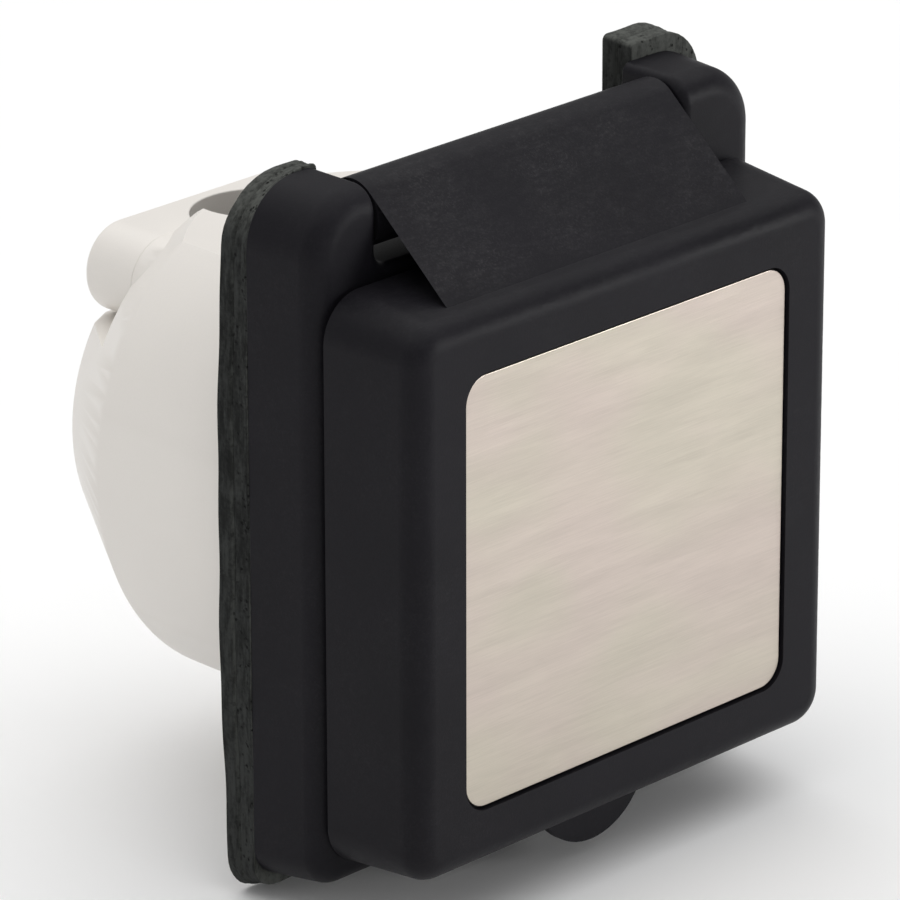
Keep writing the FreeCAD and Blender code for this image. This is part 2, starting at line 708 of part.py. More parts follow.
def plate_adhesive():
    front = LID_FRONT + PLATE_SUNK + PLATE_THICK
    return square_prism(PLATE_SIZE / 2 - GLUE_INSET, PLATE_CORNER, front, front + GLUE_THICK)


def lid_seal():
    rounding = 0.5
    ring = ring_y(
        CREST_RADIUS + SEAL_RIM, COLLAR_BORE - SEAL_RIM, LID_INSIDE, LID_INSIDE + SEAL_THICK
    )
    return ring.makeFillet(rounding, edges_in_plane(ring, LID_INSIDE + SEAL_THICK))


# ---- Rear enclosure ----


def enclosure_outside():
    form = turned(
        [
            (0, ENCLOSURE_FRONT),
            (RIM_RADIUS, ENCLOSURE_FRONT),
            (RIM_RADIUS, RIM_END),
            (DRUM_RADIUS, RIM_END),
            (DRUM_RADIUS, DRUM_END),
            (CONE_END_RADIUS, CONE_END),
            (REAR_FACE_RADIUS, REAR_FACE),
            (0, REAR_FACE),
        ]
    )
    return form.cut(block(both_sides(REACH), (LAND_START, REACH), (LAND_HEIGHT, REACH)))


def enclosure_hollow():
    """The space inside, up to the walls around the clamp's seat."""
    cone_run = CONE_END - DRUM_END
    cone_drop = DRUM_RADIUS - CONE_END_RADIUS
    slant = math.hypot(cone_run, cone_drop)
    inset = ENCLOSURE_WALL * slant / cone_run
    inner_rear = REAR_FACE - ENCLOSURE_WALL
    inner_bend = DRUM_END - ENCLOSURE_WALL * (slant - cone_run) / cone_drop
    inner_end = DRUM_RADIUS - inset - (inner_rear - DRUM_END) * cone_drop / cone_run
    hollow = turned(
        [
            (0, ENCLOSURE_FRONT),
            (DRUM_BORE, ENCLOSURE_FRONT),
            (DRUM_BORE, inner_bend),
            (inner_end, inner_rear),
            (0, inner_rear),
        ]
    )
    seat_walls = block(
        both_sides(REACH), (CLAMP_PARTING - ENCLOSURE_WALL, REACH), (CLAMP_LOW - ENCLOSURE_WALL, REACH)
    )
    land_wall = block(
        both_sides(REACH), (LAND_START - ENCLOSURE_WALL, REACH), (LAND_HEIGHT - ENCLOSURE_WALL, REACH)
    )
    keep = [seat_walls, land_wall]
    for x in both_sides(TOWER_OFFSET):
        keep.append(rod_y(TOWER_RADIUS, INSERT_REAR, REAR_FACE, x))
    for x in both_sides(CLAMP_SCREW_SPACING / 2):
        start = CLAMP_PARTING - NUT_TOWER_LENGTH
        keep.append(rod_y(NUT_TOWER_RADIUS, start, CLAMP_PARTING, x, CLAMP_MIDDLE))
    return hollow.cut(keep)


def clamp_bar(y_low, y_high):
    """A bar across X with almost full-round ends, the clamp's outline."""
    z_span = (CLAMP_LOW, CLAMP_LOW + CLAMP_HEIGHT)
    corner = CLAMP_HEIGHT / 2 - CLAMP_END_FLAT
    return prism(both_sides(CLAMP_WIDTH / 2), z_span, (corner, corner), y_low, y_high)


def hexagon(across_flats, y_low, y_high, x, z):
    radius = across_flats / math.sqrt(3)
    corners = []
    for step in range(6):
        a = math.radians(60 * step)
        corners.append(point(x + radius * math.cos(a), y_low, z + radius * math.sin(a)))
    face = Part.Face(Part.makePolygon(corners + corners[:1]))
    return face.extrude(point(0, y_high - y_low, 0))


def cable_channel():
    return rod(CABLE_RADIUS, point(0, CABLE_Y, CLAMP_LOW - ENCLOSURE_WALL), ALONG_Z, REACH)


def rear_enclosure():
    boss = clamp_bar(CLAMP_PARTING - BOSS_LENGTH, CLAMP_PARTING)
    boss = boss.cut(rod_y(DRUM_BORE, -REACH, DRUM_END - 5.0))
    solid = joined([enclosure_outside(), boss])
    seat = block(both_sides(REACH), (CLAMP_PARTING, REACH), (CLAMP_LOW - CLAMP_SEAT_GAP, REACH))
    tools = [enclosure_hollow(), seat, cable_channel()]
    nut_front = CLAMP_PARTING - NUT_TOWER_LENGTH
    for x in both_sides(TOWER_OFFSET):
        tools.append(rod_y(TOWER_BORE, INSERT_REAR + TOWER_FLOOR, REAR_FACE, x))
        tools.append(rod_y(ENCLOSURE_SCREW_RADIUS + 0.2, INSERT_REAR, INSERT_REAR + TOWER_FLOOR, x))
    for x in both_sides(CLAMP_SCREW_SPACING / 2):
        hole = CLAMP_SCREW_RADIUS + CLAMP_SCREW_HOLE_GAP
        tools.append(rod_y(hole, nut_front - 5.0, CLAMP_PARTING, x, CLAMP_MIDDLE))
        tools.append(
            hexagon(NUT_ACROSS_FLATS + 2 * NUT_GAP, nut_front, nut_front + NUT_THICK, x, CLAMP_MIDDLE)
        )
    return without(solid, tools)


def enclosure_seal():
    return ring_y(RIM_RADIUS, POCKET_RADIUS + 0.3, FLANGE_REAR, ENCLOSURE_FRONT)


def enclosure_screws():
    screws = []
    seat = INSERT_REAR + TOWER_FLOOR
    for x in both_sides(TOWER_OFFSET):
        shank = rod_y(ENCLOSURE_SCREW_RADIUS, INSERT_REAR - ENCLOSURE_SCREW_GRIP, seat, x)
        head = rod_y(TOWER_BORE - 0.3, seat, seat + SCREW_HEAD_THICK, x)
        screws.append(without(joined([shank, head]), cross_recess(seat + SCREW_HEAD_THICK, -1, x)))
    return Part.makeCompound(screws)


def cable_clamp_cap():
    bar = clamp_bar(CLAMP_PARTING, CLAMP_REAR)
    bar = bar.makeFillet(CLAMP_EDGE, edges_in_plane(bar, CLAMP_REAR))
    tools = [cable_channel()]
    for x in both_sides(CLAMP_SCREW_SPACING / 2):
        hole = CLAMP_SCREW_RADIUS + CLAMP_SCREW_HOLE_GAP
        tools.append(rod_y(hole, CLAMP_PARTING, CLAMP_REAR, x, CLAMP_MIDDLE))
        tools.append(rod_y(CLAMP_HEAD_RADIUS + 0.4, CLAMP_REAR - CLAMP_HEAD_SUNK, CLAMP_REAR, x, CLAMP_MIDDLE))
    return without(bar, tools)


def cable_clamp_screws():
    screws = []
    seat = CLAMP_REAR - CLAMP_HEAD_SUNK
    for x in both_sides(CLAMP_SCREW_SPACING / 2):
        shank = rod_y(CLAMP_SCREW_RADIUS, CLAMP_PARTING - CLAMP_SCREW_REACH, seat, x, CLAMP_MIDDLE)
        head = rod_y(CLAMP_HEAD_RADIUS, seat, seat + SCREW_HEAD_THICK, x, CLAMP_MIDDLE)
        recess = cross_recess(seat + SCREW_HEAD_THICK, -1, x, CLAMP_MIDDLE)
        screws.append(without(joined([shank, head]), recess))
    return Part.makeCompound(screws)


def clamp_nuts():
    nuts = []
    front = CLAMP_PARTING - NUT_TOWER_LENGTH
    for x in both_sides(CLAMP_SCREW_SPACING / 2):
        nut = hexagon(NUT_ACROSS_FLATS, front, front + NUT_THICK, x, CLAMP_MIDDLE)
        bore = rod_y(CLAMP_SCREW_RADIUS + PIN_RUNNING_GAP, front, front + NUT_THICK, x, CLAMP_MIDDLE)
        nuts.append(nut.cut(bore))
    return Part.makeCompound(nuts)


# ---- Build ----


def sub_parts():
    parts = {
        "front_housing": front_housing(),
        "mounting_gasket": mounting_gasket(),
        "hinge_pin": hinge_pin(),
        "plug_collar": plug_collar(),
        "insert_seal": insert_seal(),
        "inlet_insert": inlet_insert(),
        "insert_screws": insert_screws(),
        "contact_shell": contact_shell(),
        "ground_pin": ground_pin(),
        "ground_strap": ground_strap(),
        "terminal_screws": terminal_screws(),
        "pressure_plates": pressure_plates(),
        "lid_shell": lid_shell(),
        "lid_plate": lid_plate(),
        "plate_adhesive": plate_adhesive(),
        "lid_seal": lid_seal(),
        "rear_enclosure": rear_enclosure(),
        "enclosure_seal": enclosure_seal(),
        "enclosure_screws": enclosure_screws(),
        "cable_clamp_cap": cable_clamp_cap(),
        "cable_clamp_screws": cable_clamp_screws(),
        "clamp_nuts": clamp_nuts(),
    }
    for name, span, angle in BLADES:
        parts[name] = blade(span, angle)
    for name, angle, tongue_start in TERMINALS:
        parts[name] = terminal(angle, tongue_start)
    return parts


def main():
    os.makedirs("parts", exist_ok=True)
    for name, shape in sub_parts().items():
        solids = len(shape.Solids)
        print(f"{name}: solids {solids}, volume {shape.Volume:.0f}, valid {shape.isValid()}")
        shape.exportStep(f"parts/{name}.step")


main()
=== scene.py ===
"""Power inlet box with a lid, a wall gasket and a round rear enclosure, finished for looks.

Laid out as an add-on: each piece has its operator, and the panel in the sidebar lists them.
Metres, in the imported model's frame: the wall is at Y = 0, the lid faces -Y, +Z is up.
"""

import json
import math

import bmesh
import bpy
from mathutils import Matrix, Vector


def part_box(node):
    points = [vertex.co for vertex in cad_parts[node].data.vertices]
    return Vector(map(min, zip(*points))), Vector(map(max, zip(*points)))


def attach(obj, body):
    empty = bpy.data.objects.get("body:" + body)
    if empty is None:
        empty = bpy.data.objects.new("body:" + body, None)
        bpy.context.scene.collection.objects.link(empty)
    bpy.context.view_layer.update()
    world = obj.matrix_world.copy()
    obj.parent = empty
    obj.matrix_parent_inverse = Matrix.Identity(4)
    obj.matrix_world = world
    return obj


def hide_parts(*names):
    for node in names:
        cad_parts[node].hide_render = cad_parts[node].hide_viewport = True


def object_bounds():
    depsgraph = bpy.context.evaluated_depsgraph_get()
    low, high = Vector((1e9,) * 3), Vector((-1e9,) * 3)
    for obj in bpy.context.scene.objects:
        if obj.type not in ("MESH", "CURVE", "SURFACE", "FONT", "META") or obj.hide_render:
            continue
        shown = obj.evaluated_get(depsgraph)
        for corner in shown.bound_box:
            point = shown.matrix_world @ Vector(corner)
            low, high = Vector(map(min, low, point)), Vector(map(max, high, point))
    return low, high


bl_info = {
    "name": "Power inlet box",
    "version": (1, 0, 0),
    "blender": (4, 5, 0),
    "location": "3D View > Sidebar > Inlet box",
    "description": "Finishes the pieces of a wall-mounted power inlet box",
    "category": "Object",
}

MM = 0.001
TINY = 1e-9
FIXING_HOLE_AT = 41 * MM
FIXING_HOLE_RADIUS = 2.6 * MM
COLLAR_BORE = 31.5 * MM
COLLAR_RADIUS = 34.9 * MM
COLLAR_FOOT = 3.5 * MM
COLLAR_SCREW_AT = 39.7 * MM
THREAD_TURNS = 2.6
THREAD_START = 3.0 * MM
ENCLOSURE_SCREW_AT = 26 * MM
CLAMP_SCREW_AT = 22 * MM
PLATE_CORNER = 4.5 * MM
FLOOR_GAP = 1.5 * MM
NOTCH_LEFT, NOTCH_RIGHT = -36.3 * MM, 36.5 * MM
NOTCH_DROP = 7.6 * MM
CAMERA_PLACE = (-0.76875, -0.7646, 0.43755)
CAMERA_FORWARD = (0.6582, 0.6548, -0.3714)
CAMERA_RIGHT = (0.70471, -0.70949, -0.0019)
CAMERA_LENS = 275.2
PLATE_PINK = (1.0, 0.925, 0.90)
PLATE_YELLOW = (0.97, 0.945, 0.87)
# Pale grey for the gasket's faces: painted light on its up-facing and front-facing faces, partly dust on
# the up-facing ones.
DUST_AND_PAINTED_LIGHT = (0.092, 0.096, 0.088)
BLACK_HAZE = (0.060, 0.058, 0.061)

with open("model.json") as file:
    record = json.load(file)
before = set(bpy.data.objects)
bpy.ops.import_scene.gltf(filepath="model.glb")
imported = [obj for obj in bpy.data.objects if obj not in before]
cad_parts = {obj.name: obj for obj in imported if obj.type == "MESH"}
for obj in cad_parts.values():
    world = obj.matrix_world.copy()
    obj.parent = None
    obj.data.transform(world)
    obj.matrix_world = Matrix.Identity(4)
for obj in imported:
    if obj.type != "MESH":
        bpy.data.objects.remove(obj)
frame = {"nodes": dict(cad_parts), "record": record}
CAD_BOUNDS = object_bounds()
RECORD = frame["record"]
BODY_OF = {node: body for body, nodes in RECORD["behaviour"]["bodies"].items() for node in nodes}
SLOT_OF = {part["node"]: part["material_slot"] for part in RECORD["subparts"]}
COLOURS = {m["slot"]: m["base_color"] for m in RECORD["materials"]}


def clamp01(value):
    return max(0.0, min(1.0, value))


def low(node):
    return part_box(node)[0]


def high(node):
    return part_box(node)[1]


# ---- Settings ----


def length(name, description, default):
    return bpy.props.FloatProperty(
        name=name, description=description, default=default, min=0.0, unit="LENGTH", precision=5
    )


def colour(name, description, default):
    return bpy.props.FloatVectorProperty(
        name=name, description=description, default=default, size=3, min=0.0, max=1.0, subtype="COLOR"
    )


class InletSizes(bpy.types.PropertyGroup):
    """Sizes of what is finished here."""

    edge: length("Edge rounding", "Rounding of the moulded pieces' sharp edges", 0.25 * MM)
    metal_edge: length("Metal edge", "Rounding of the metal pieces' edges", 0.12 * MM)
    plate_edge: length("Plate edge", "Rounding of the lid plate's front edge", 0.18 * MM)
    grain: length("Grain", "Size of the moulded plastic's surface grain", 0.35 * MM)
    brushing: length("Brushing", "Width of one brushed line on the lid plate", 0.16 * MM)
    pore: length("Pore", "Size of the gasket's open pores", 1.1 * MM)
    thread_pitch: length("Thread pitch", "Rise of the collar's thread in one turn", 3.2 * MM)
    thread_depth: length("Thread depth", "Height of the collar's thread", 1.3 * MM)
    gasket_sag: length("Gasket sag", "Drop of the gasket's rear edge over the left ear", 1.8 * MM)
    gasket_groove: length("Gasket groove", "Depth of the groove between its two layers", 0.5 * MM)


class InletColours(bpy.types.PropertyGroup):
    """Colours of the finishes."""

    black: colour("Black moulding", "Flange, lid and collar", COLOURS["black_moulding"])
    white: colour("White moulding", "Rear enclosure and clamp bar", COLOURS["white_moulding"])
    insert: colour("Insert", "The carrier of the contacts", COLOURS["insert_moulding"])
    plate: colour("Lid plate", "Brushed steel of the lid plate", COLOURS["brushed_plate"])
    steel: colour("Steel", "Screws, pin and contact shell", COLOURS["stainless"])
    brass: colour("Brass", "Blades and terminals", COLOURS["brass"])
    sponge: colour("Sponge rubber", "The wall gasket", COLOURS["sponge_rubber"])
    rubber: colour("Seal rubber", "The smooth seals", COLOURS["seal_rubber"])
    tape: colour("Tape", "The tape behind the lid plate", COLOURS["adhesive"])
    floor: colour("Floor", "The pale floor", (0.94, 0.94, 0.94))


def sizes():
    return bpy.context.scene.inlet_sizes


def colours():
    return bpy.context.scene.inlet_colours


# ---- Shader helpers ----


class Wiring:
    """Places nodes in a tree and joins their sockets."""

    def __init__(self, tree):
        self.tree = tree

    def add(self, kind, values=None, **settings):
        node = self.tree.nodes.new(kind)
        for name, value in settings.items():
            setattr(node, name, value)
        for socket, value in (values or {}).items():
            if isinstance(value, bpy.types.NodeSocket):
                self.tree.links.new(value, node.inputs[socket])
            else:
                node.inputs[socket].default_value = value
        return node

    def math(self, operation, a, b=0.0):
        return self.add("ShaderNodeMath", {0: a, 1: b}, operation=operation).outputs[0]

    def weighed(self, a, weight_a, b, weight_b):
        """The sum of a and b, each times its weight."""
        return self.math("ADD", self.math("MULTIPLY", a, weight_a), self.math("MULTIPLY", b, weight_b))

    def ramp(self, value, start, end, low_value=0.0, high_value=1.0):
        """Smooth step of value from start to end."""
        values = {"Value": value, 1: start, 2: end, 3: low_value, 4: high_value}
        node = self.add("ShaderNodeMapRange", values, interpolation_type="SMOOTHSTEP")
        return node.outputs[0]

    def blend(self, factor, a, b, mode="MIX"):
        node = self.add("ShaderNodeMix", data_type="RGBA", blend_type=mode)
        for index, value in ((0, factor), (6, a), (7, b)):
            if isinstance(value, bpy.types.NodeSocket):
                self.tree.links.new(value, node.inputs[index])
            else:
                node.inputs[index].default_value = value
        return node.outputs[2]

    def noise(self, vector, scale, detail=2.0, roughness=0.5):
        values = {"Vector": vector, "Scale": scale, "Detail": detail, "Roughness": roughness}
        return self.add("ShaderNodeTexNoise", values).outputs["Fac"]

    def stretched(self, vector, scale):
        return self.add("ShaderNodeMapping", {"Vector": vector, "Scale": scale}).outputs[0]


def group_tree(name, inputs, outputs):
    """A shader node group with its sockets, ready to be wired."""
    tree = bpy.data.node_groups.new(name, "ShaderNodeTree")
    for label, kind, default in inputs:
        socket = tree.interface.new_socket(name=label, in_out="INPUT", socket_type=kind)
        if default is not None:
            socket.default_value = default
    for label, kind in outputs:
        tree.interface.new_socket(name=label, in_out="OUTPUT", socket_type=kind)
    given = tree.nodes.new("NodeGroupInput").outputs
    return Wiring(tree), given, tree.nodes.new("NodeGroupOutput").inputs


def make_grain_group():
    """Fine surface grain, and a slow tone change."""
    wiring, given, out = group_tree(
        "surface_grain",
        [
            ("Vector", "NodeSocketVector", None),
            ("Scale", "NodeSocketFloat", 1000.0),
            ("Depth", "NodeSocketFloat", 1.0),
        ],
        [("Height", "NodeSocketFloat"), ("Tone", "NodeSocketFloat")],
    )
    fine = wiring.noise(given["Vector"], given["Scale"], 3.0, 0.6)
    coarse = wiring.noise(given["Vector"], wiring.math("MULTIPLY", given["Scale"], 0.12), 2.0)
    slow = wiring.noise(given["Vector"], wiring.math("MULTIPLY", given["Scale"], 0.012), 3.0)
    height = wiring.math("ADD", fine, wiring.math("MULTIPLY", coarse, 0.5))
    tone = wiring.weighed(slow, 0.6, fine, 0.4)
    wiring.tree.links.new(wiring.math("MULTIPLY", height, given["Depth"]), out["Height"])
    wiring.tree.links.new(tone, out["Tone"])
    return wiring.tree


def make_scuff_group():
    """Rubbed haze: a faint cloud with pale specks and short soft rubs in it."""
    wiring, given, out = group_tree(
        "rubbed_haze",
        [("Vector", "NodeSocketVector", None), ("Amount", "NodeSocketFloat", 0.5)],
        [("Mask", "NodeSocketFloat")],
    )
    cloud = wiring.ramp(wiring.noise(given["Vector"], 60.0, 3.0, 0.6), 0.32, 0.72)
    rubs_at = wiring.stretched(given["Vector"], (420.0, 900.0, 900.0))
    rubs = wiring.ramp(wiring.noise(rubs_at, 1.0, 5.0, 0.75), 0.42, 0.75)
    specks = wiring.ramp(wiring.noise(given["Vector"], 2300.0, 2.0, 0.6), 0.5, 0.75)
    marks = wiring.weighed(rubs, 0.6, specks, 0.7)
    total = wiring.math("MULTIPLY", marks, wiring.math("ADD", cloud, 0.3))
    total = wiring.math("ADD", total, wiring.math("MULTIPLY", cloud, 0.15))
    wiring.tree.links.new(wiring.math("MULTIPLY", total, given["Amount"]), out["Mask"])
    return wiring.tree


def make_brushing_group():
    """Short fine lines along X, and fainter broad ones."""
    wiring, given, out = group_tree(
        "brushed_lines",
        [("Vector", "NodeSocketVector", None), ("Width", "NodeSocketFloat", 0.0002)],
        [("Height", "NodeSocketFloat"), ("Tone", "NodeSocketFloat")],
    )
    per_metre = wiring.math("DIVIDE", 1.0, given["Width"])
    scale = wiring.add("ShaderNodeCombineXYZ", {0: 130.0, 1: per_metre, 2: per_metre}).outputs[0]
    lines_at = wiring.stretched(given["Vector"], scale)
    lines = wiring.noise(lines_at, 1.0, 3.0, 0.7)
    broad_at = wiring.stretched(given["Vector"], (35.0, 330.0, 330.0))
    broad = wiring.noise(broad_at, 1.0, 3.0, 0.6)
    wiring.tree.links.new(lines, out["Height"])
    wiring.tree.links.new(wiring.weighed(lines, 0.62, broad, 0.38), out["Tone"])
    return wiring.tree


def shared_group(name):
    makers = {
        "surface_grain": make_grain_group,
        "rubbed_haze": make_scuff_group,
        "brushed_lines": make_brushing_group,
    }
    return bpy.data.node_groups.get(name) or makers[name]()


def place_group(wiring, name, values):
    node = wiring.add("ShaderNodeGroup", node_tree=shared_group(name))
    for socket, value in values.items():
        if isinstance(value, bpy.types.NodeSocket):
            wiring.tree.links.new(value, node.inputs[socket])
        else:
            node.inputs[socket].default_value = value
    return node.outputs


def grain_at(wiring, place, scale):
    return place_group(wiring, "surface_grain", {"Vector": place, "Scale": scale, "Depth": 1.0})


def start_material(name, roughness, metallic=0.0, **fixed):
    """A material with its shader; fixed are values of the shader's own sockets."""
    material = bpy.data.materials.new(name + "_finish")
    material.use_nodes = True
    wiring = Wiring(material.node_tree)
    shader = material.node_tree.nodes["Principled BSDF"]
    shader.inputs["Roughness"].default_value = roughness
    shader.inputs["Metallic"].default_value = metallic
    for socket, value in fixed.items():
        shader.inputs[socket.replace("_", " ")].default_value = value
    place = wiring.add("ShaderNodeTexCoord").outputs["Object"]
    return material, wiring, shader, place


def set_bump(wiring, shader, height, distance, strength=1.0):
    bump = wiring.add("ShaderNodeBump", {"Height": height, "Distance": distance, "Strength": strength})
    wiring.tree.links.new(bump.outputs[0], shader.inputs["Normal"])


def rgba(value, gain=1.0):
    return tuple(min(1.0, channel * gain) for channel in value) + (1.0,)


# ---- Finishes ----


def moulded_plastic(
    name, base, roughness, tone_range, depth, haze=0.0, haze_colour=None, haze_above=None, specular=0.5
):
    """Moulded plastic with a matt grain; haze adds rubbed patches, above a height if one is given."""
    material, wiring, shader, place = start_material(name, roughness, Specular_IOR_Level=specular)
    grain = grain_at(wiring, place, 1.0 / sizes().grain)
    tone = wiring.ramp(grain["Tone"], 0.35, 0.65)
    body = wiring.blend(tone, rgba(base, tone_range[0]), rgba(base, tone_range[1]))
    rough = wiring.ramp(grain["Tone"], 0.3, 0.7, roughness - 0.06, roughness + 0.07)
    if haze:
        mask = place_group(wiring, "rubbed_haze", {"Vector": place, "Amount": haze})["Mask"]
        if haze_above is not None:
            height = wiring.add("ShaderNodeSeparateXYZ", {0: place}).outputs[2]
            zone = wiring.ramp(height, haze_above - 3 * MM, haze_above + 2 * MM, 0.25, 1.0)
            mask = wiring.math("MULTIPLY", mask, zone)
        body = wiring.blend(mask, body, rgba(haze_colour))
        rough = wiring.math("ADD", rough, wiring.math("MULTIPLY", mask, 0.25))
    wiring.tree.links.new(body, shader.inputs["Base Color"])
    wiring.tree.links.new(rough, shader.inputs["Roughness"])
    set_bump(wiring, shader, grain["Height"], depth)
    return material


def make_black(name="black_moulding", haze=0.10, haze_above=None):
    base = [channel * gain for channel, gain in zip(colours().black, (0.28, 0.27, 0.30))]
    return moulded_plastic(
        name, base, 0.44, (0.85, 1.15), 0.02 * MM, haze, BLACK_HAZE, haze_above, specular=0.10
    )


def make_black_lid():
    return make_black("black_lid_moulding", 0.34, high("lid_plate").z + 12 * MM)


def make_white():
    base = colours().white
    return moulded_plastic("white_moulding", base, 0.36, (0.985, 1.01), 0.008 * MM, specular=0.3)


def make_insert():
    return moulded_plastic("insert_moulding", colours().insert, 0.5, (0.93, 1.05), 0.03 * MM)


def make_plate():
    """Horizontally brushed sheet with a faint change of hue from patch to patch."""
    material, wiring, shader, place = start_material("brushed_plate", 0.34, metallic=1.0)
    lines = place_group(wiring, "brushed_lines", {"Vector": place, "Width": sizes().brushing})
    tone = wiring.ramp(lines["Tone"], 0.3, 0.7)
    body = wiring.blend(tone, rgba(colours().plate, 0.72), rgba(colours().plate, 0.82))
    patch = wiring.noise(wiring.stretched(place, (28.0, 28.0, 45.0)), 1.0, 2.0)
    hue = wiring.blend(wiring.ramp(patch, 0.36, 0.64), rgba(PLATE_PINK), rgba(PLATE_YELLOW))
    body = wiring.blend(1.0, body, hue, "MULTIPLY")
    wiring.tree.links.new(body, shader.inputs["Base Color"])
    wiring.tree.links.new(wiring.ramp(lines["Tone"], 0.25, 0.75, 0.30, 0.42), shader.inputs["Roughness"])
    set_bump(wiring, shader, lines["Height"], 0.012 * MM)
    return material


def make_metal(name, base, roughness, tarnish):
    """Plain metal with fine turning marks and a little tarnish."""
    material, wiring, shader, place = start_material(name, roughness, metallic=1.0)
    grain = grain_at(wiring, place, 1800.0)
    slow = wiring.ramp(wiring.noise(place, 160.0, 4.0, 0.6), 0.4, 0.7)
    body = wiring.blend(slow, rgba(base, 1.04), rgba(tarnish))
    wiring.tree.links.new(body, shader.inputs["Base Color"])
    rough = wiring.ramp(grain["Tone"], 0.3, 0.7, roughness - 0.06, roughness + 0.1)
    wiring.tree.links.new(rough, shader.inputs["Roughness"])
    set_bump(wiring, shader, grain["Height"], 0.006 * MM)
    return material


def make_steel():
    base = colours().steel
    return make_metal("stainless", base, 0.30, [c * 0.8 for c in base])


def make_brass():
    base = colours().brass
    return make_metal("brass", base, 0.32, (base[0] * 0.72, base[1] * 0.66, base[2] * 0.6))


def make_sponge():
    """Die-cut closed-cell sponge: mottled, with pits on its cut edge painted near black as painted
    shade, and paler faces: painted light on the up-facing and front-facing ones, partly dust on the
    up-facing ones.
    """
    material, wiring, shader, place = start_material("sponge_rubber", 0.8, Specular_IOR_Level=0.12)
    base = colours().sponge
    cells = wiring.add("ShaderNodeTexVoronoi", {"Vector": place, "Scale": 1.0 / sizes().pore})
    pits = wiring.ramp(cells.outputs["Distance"], 0.10, 0.40)
    pick = wiring.ramp(wiring.noise(place, 0.45 / sizes().pore, 2.0), 0.50, 0.58)
    depth = wiring.add("ShaderNodeSeparateXYZ", {0: place}).outputs[1]
    front = low("mounting_gasket").y
    share = wiring.ramp(depth, front * 0.55, front * 0.4, 1.0, 0.25)
    kept = wiring.math("MULTIPLY", pick, share)
    pits = wiring.math("MAXIMUM", pits, wiring.math("SUBTRACT", 1.0, kept))
    grain = grain_at(wiring, place, 1400.0)
    streaks = wiring.noise(wiring.stretched(place, (900.0, 900.0, 180.0)), 1.0, 4.0, 0.65)
    mottle = wiring.ramp(wiring.weighed(grain["Tone"], 0.5, streaks, 0.5), 0.40, 0.60)
    # Painted light: faces turned up or to the front are painted paler; on the up-facing ones it is
    # partly dust.
    normal = wiring.add("ShaderNodeNewGeometry").outputs["Normal"]
    facing = wiring.add("ShaderNodeSeparateXYZ", {0: normal})
    upward = wiring.ramp(facing.outputs[2], 0.15, 0.85)
    forward = wiring.math("MULTIPLY", wiring.ramp(facing.outputs[1], -0.3, -0.9), 0.8)
    dust_and_painted_light_faces = wiring.math("MAXIMUM", upward, forward)
    pale_tint = wiring.math("MULTIPLY", dust_and_painted_light_faces, wiring.math("ADD", wiring.math("MULTIPLY", mottle, 0.6), 0.3))
    body = wiring.blend(mottle, rgba(base, 0.20), rgba(base, 0.68))
    # Blend towards the pale grey: painted light, partly dust on the up-facing faces.
    body = wiring.blend(pale_tint, body, rgba(DUST_AND_PAINTED_LIGHT))
    # Painted shade: the pore pits are painted near black, as shade inside the holes.
    body = wiring.blend(wiring.math("SUBTRACT", 1.0, pits), body, rgba(base, 0.08))
    wiring.tree.links.new(body, shader.inputs["Base Color"])
    height = wiring.math("ADD", pits, wiring.math("MULTIPLY", grain["Height"], 0.35))
    set_bump(wiring, shader, height, 0.22 * MM)
    return material


def make_rubber():
    pale_tint = (0.07, 0.07, 0.07)
    return moulded_plastic("seal_rubber", colours().rubber, 0.62, (0.8, 1.2), 0.02 * MM, 0.15, pale_tint)


def make_tape():
    return moulded_plastic("adhesive", colours().tape, 0.8, (0.8, 1.2), 0.05 * MM)


FINISHES = {
    "black_moulding": make_black,
    "black_lid_moulding": make_black_lid,
    "white_moulding": make_white,
    "insert_moulding": make_insert,
    "brushed_plate": make_plate,
    "stainless": make_steel,
    "brass": make_brass,
    "sponge_rubber": make_sponge,
    "seal_rubber": make_rubber,
    "adhesive": make_tape,
}


def finish_named(name):
    return bpy.data.materials.get(name + "_finish") or FINISHES[name]()


# ---- Mesh helpers ----


def new_object(name, mesh):
    obj = bpy.data.objects.new(name, mesh)
    bpy.context.scene.collection.objects.link(obj)
    return obj


def mesh_from(name, build):
    """A mesh filled by build(bm)."""
    bm = bmesh.new()
    build(bm)
    mesh = bpy.data.meshes.new(name)
    bm.to_mesh(mesh)
    bm.free()
    return mesh


def built(name, build):
    """An object whose mesh is filled by build(bm)."""
    return new_object(name, mesh_from(name, build))


def evaluated_mesh(obj):
    """The object's mesh with its modifiers worked in."""
    bpy.context.view_layer.update()
    graph = bpy.context.evaluated_depsgraph_get()
    return bpy.data.meshes.new_from_object(obj.evaluated_get(graph), depsgraph=graph)


def settle_modifiers(obj):
    mesh = evaluated_mesh(obj)
    obj.modifiers.clear()
    obj.data = mesh


def round_edges(obj, width, segments=2, angle=34.0):
    """Rounds the sharp edges and gives flat faces flat shading."""
    if width > 0:
        bevel = obj.modifiers.new("edges", "BEVEL")
        bevel.width = width
        bevel.segments = segments
        bevel.limit_method = "ANGLE"
        bevel.angle_limit = math.radians(angle)
        bevel.use_clamp_overlap = True
        bevel.miter_outer = "MITER_ARC"
    obj.data.shade_smooth()
    weighted = obj.modifiers.new("shading", "WEIGHTED_NORMAL")
    weighted.keep_sharp = True
    settle_modifiers(obj)


def complete(obj, node, replaced=(), finish=None):
    """Gives the piece its finish, body and slot, in the place of its CAD nodes."""
    slot = SLOT_OF[node]
    if finish or not obj.data.materials:
        obj.data.materials.clear()
        obj.data.materials.append(finish_named(finish or slot))
    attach(obj, BODY_OF[node])
    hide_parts(*(replaced or (node,)))
    return obj


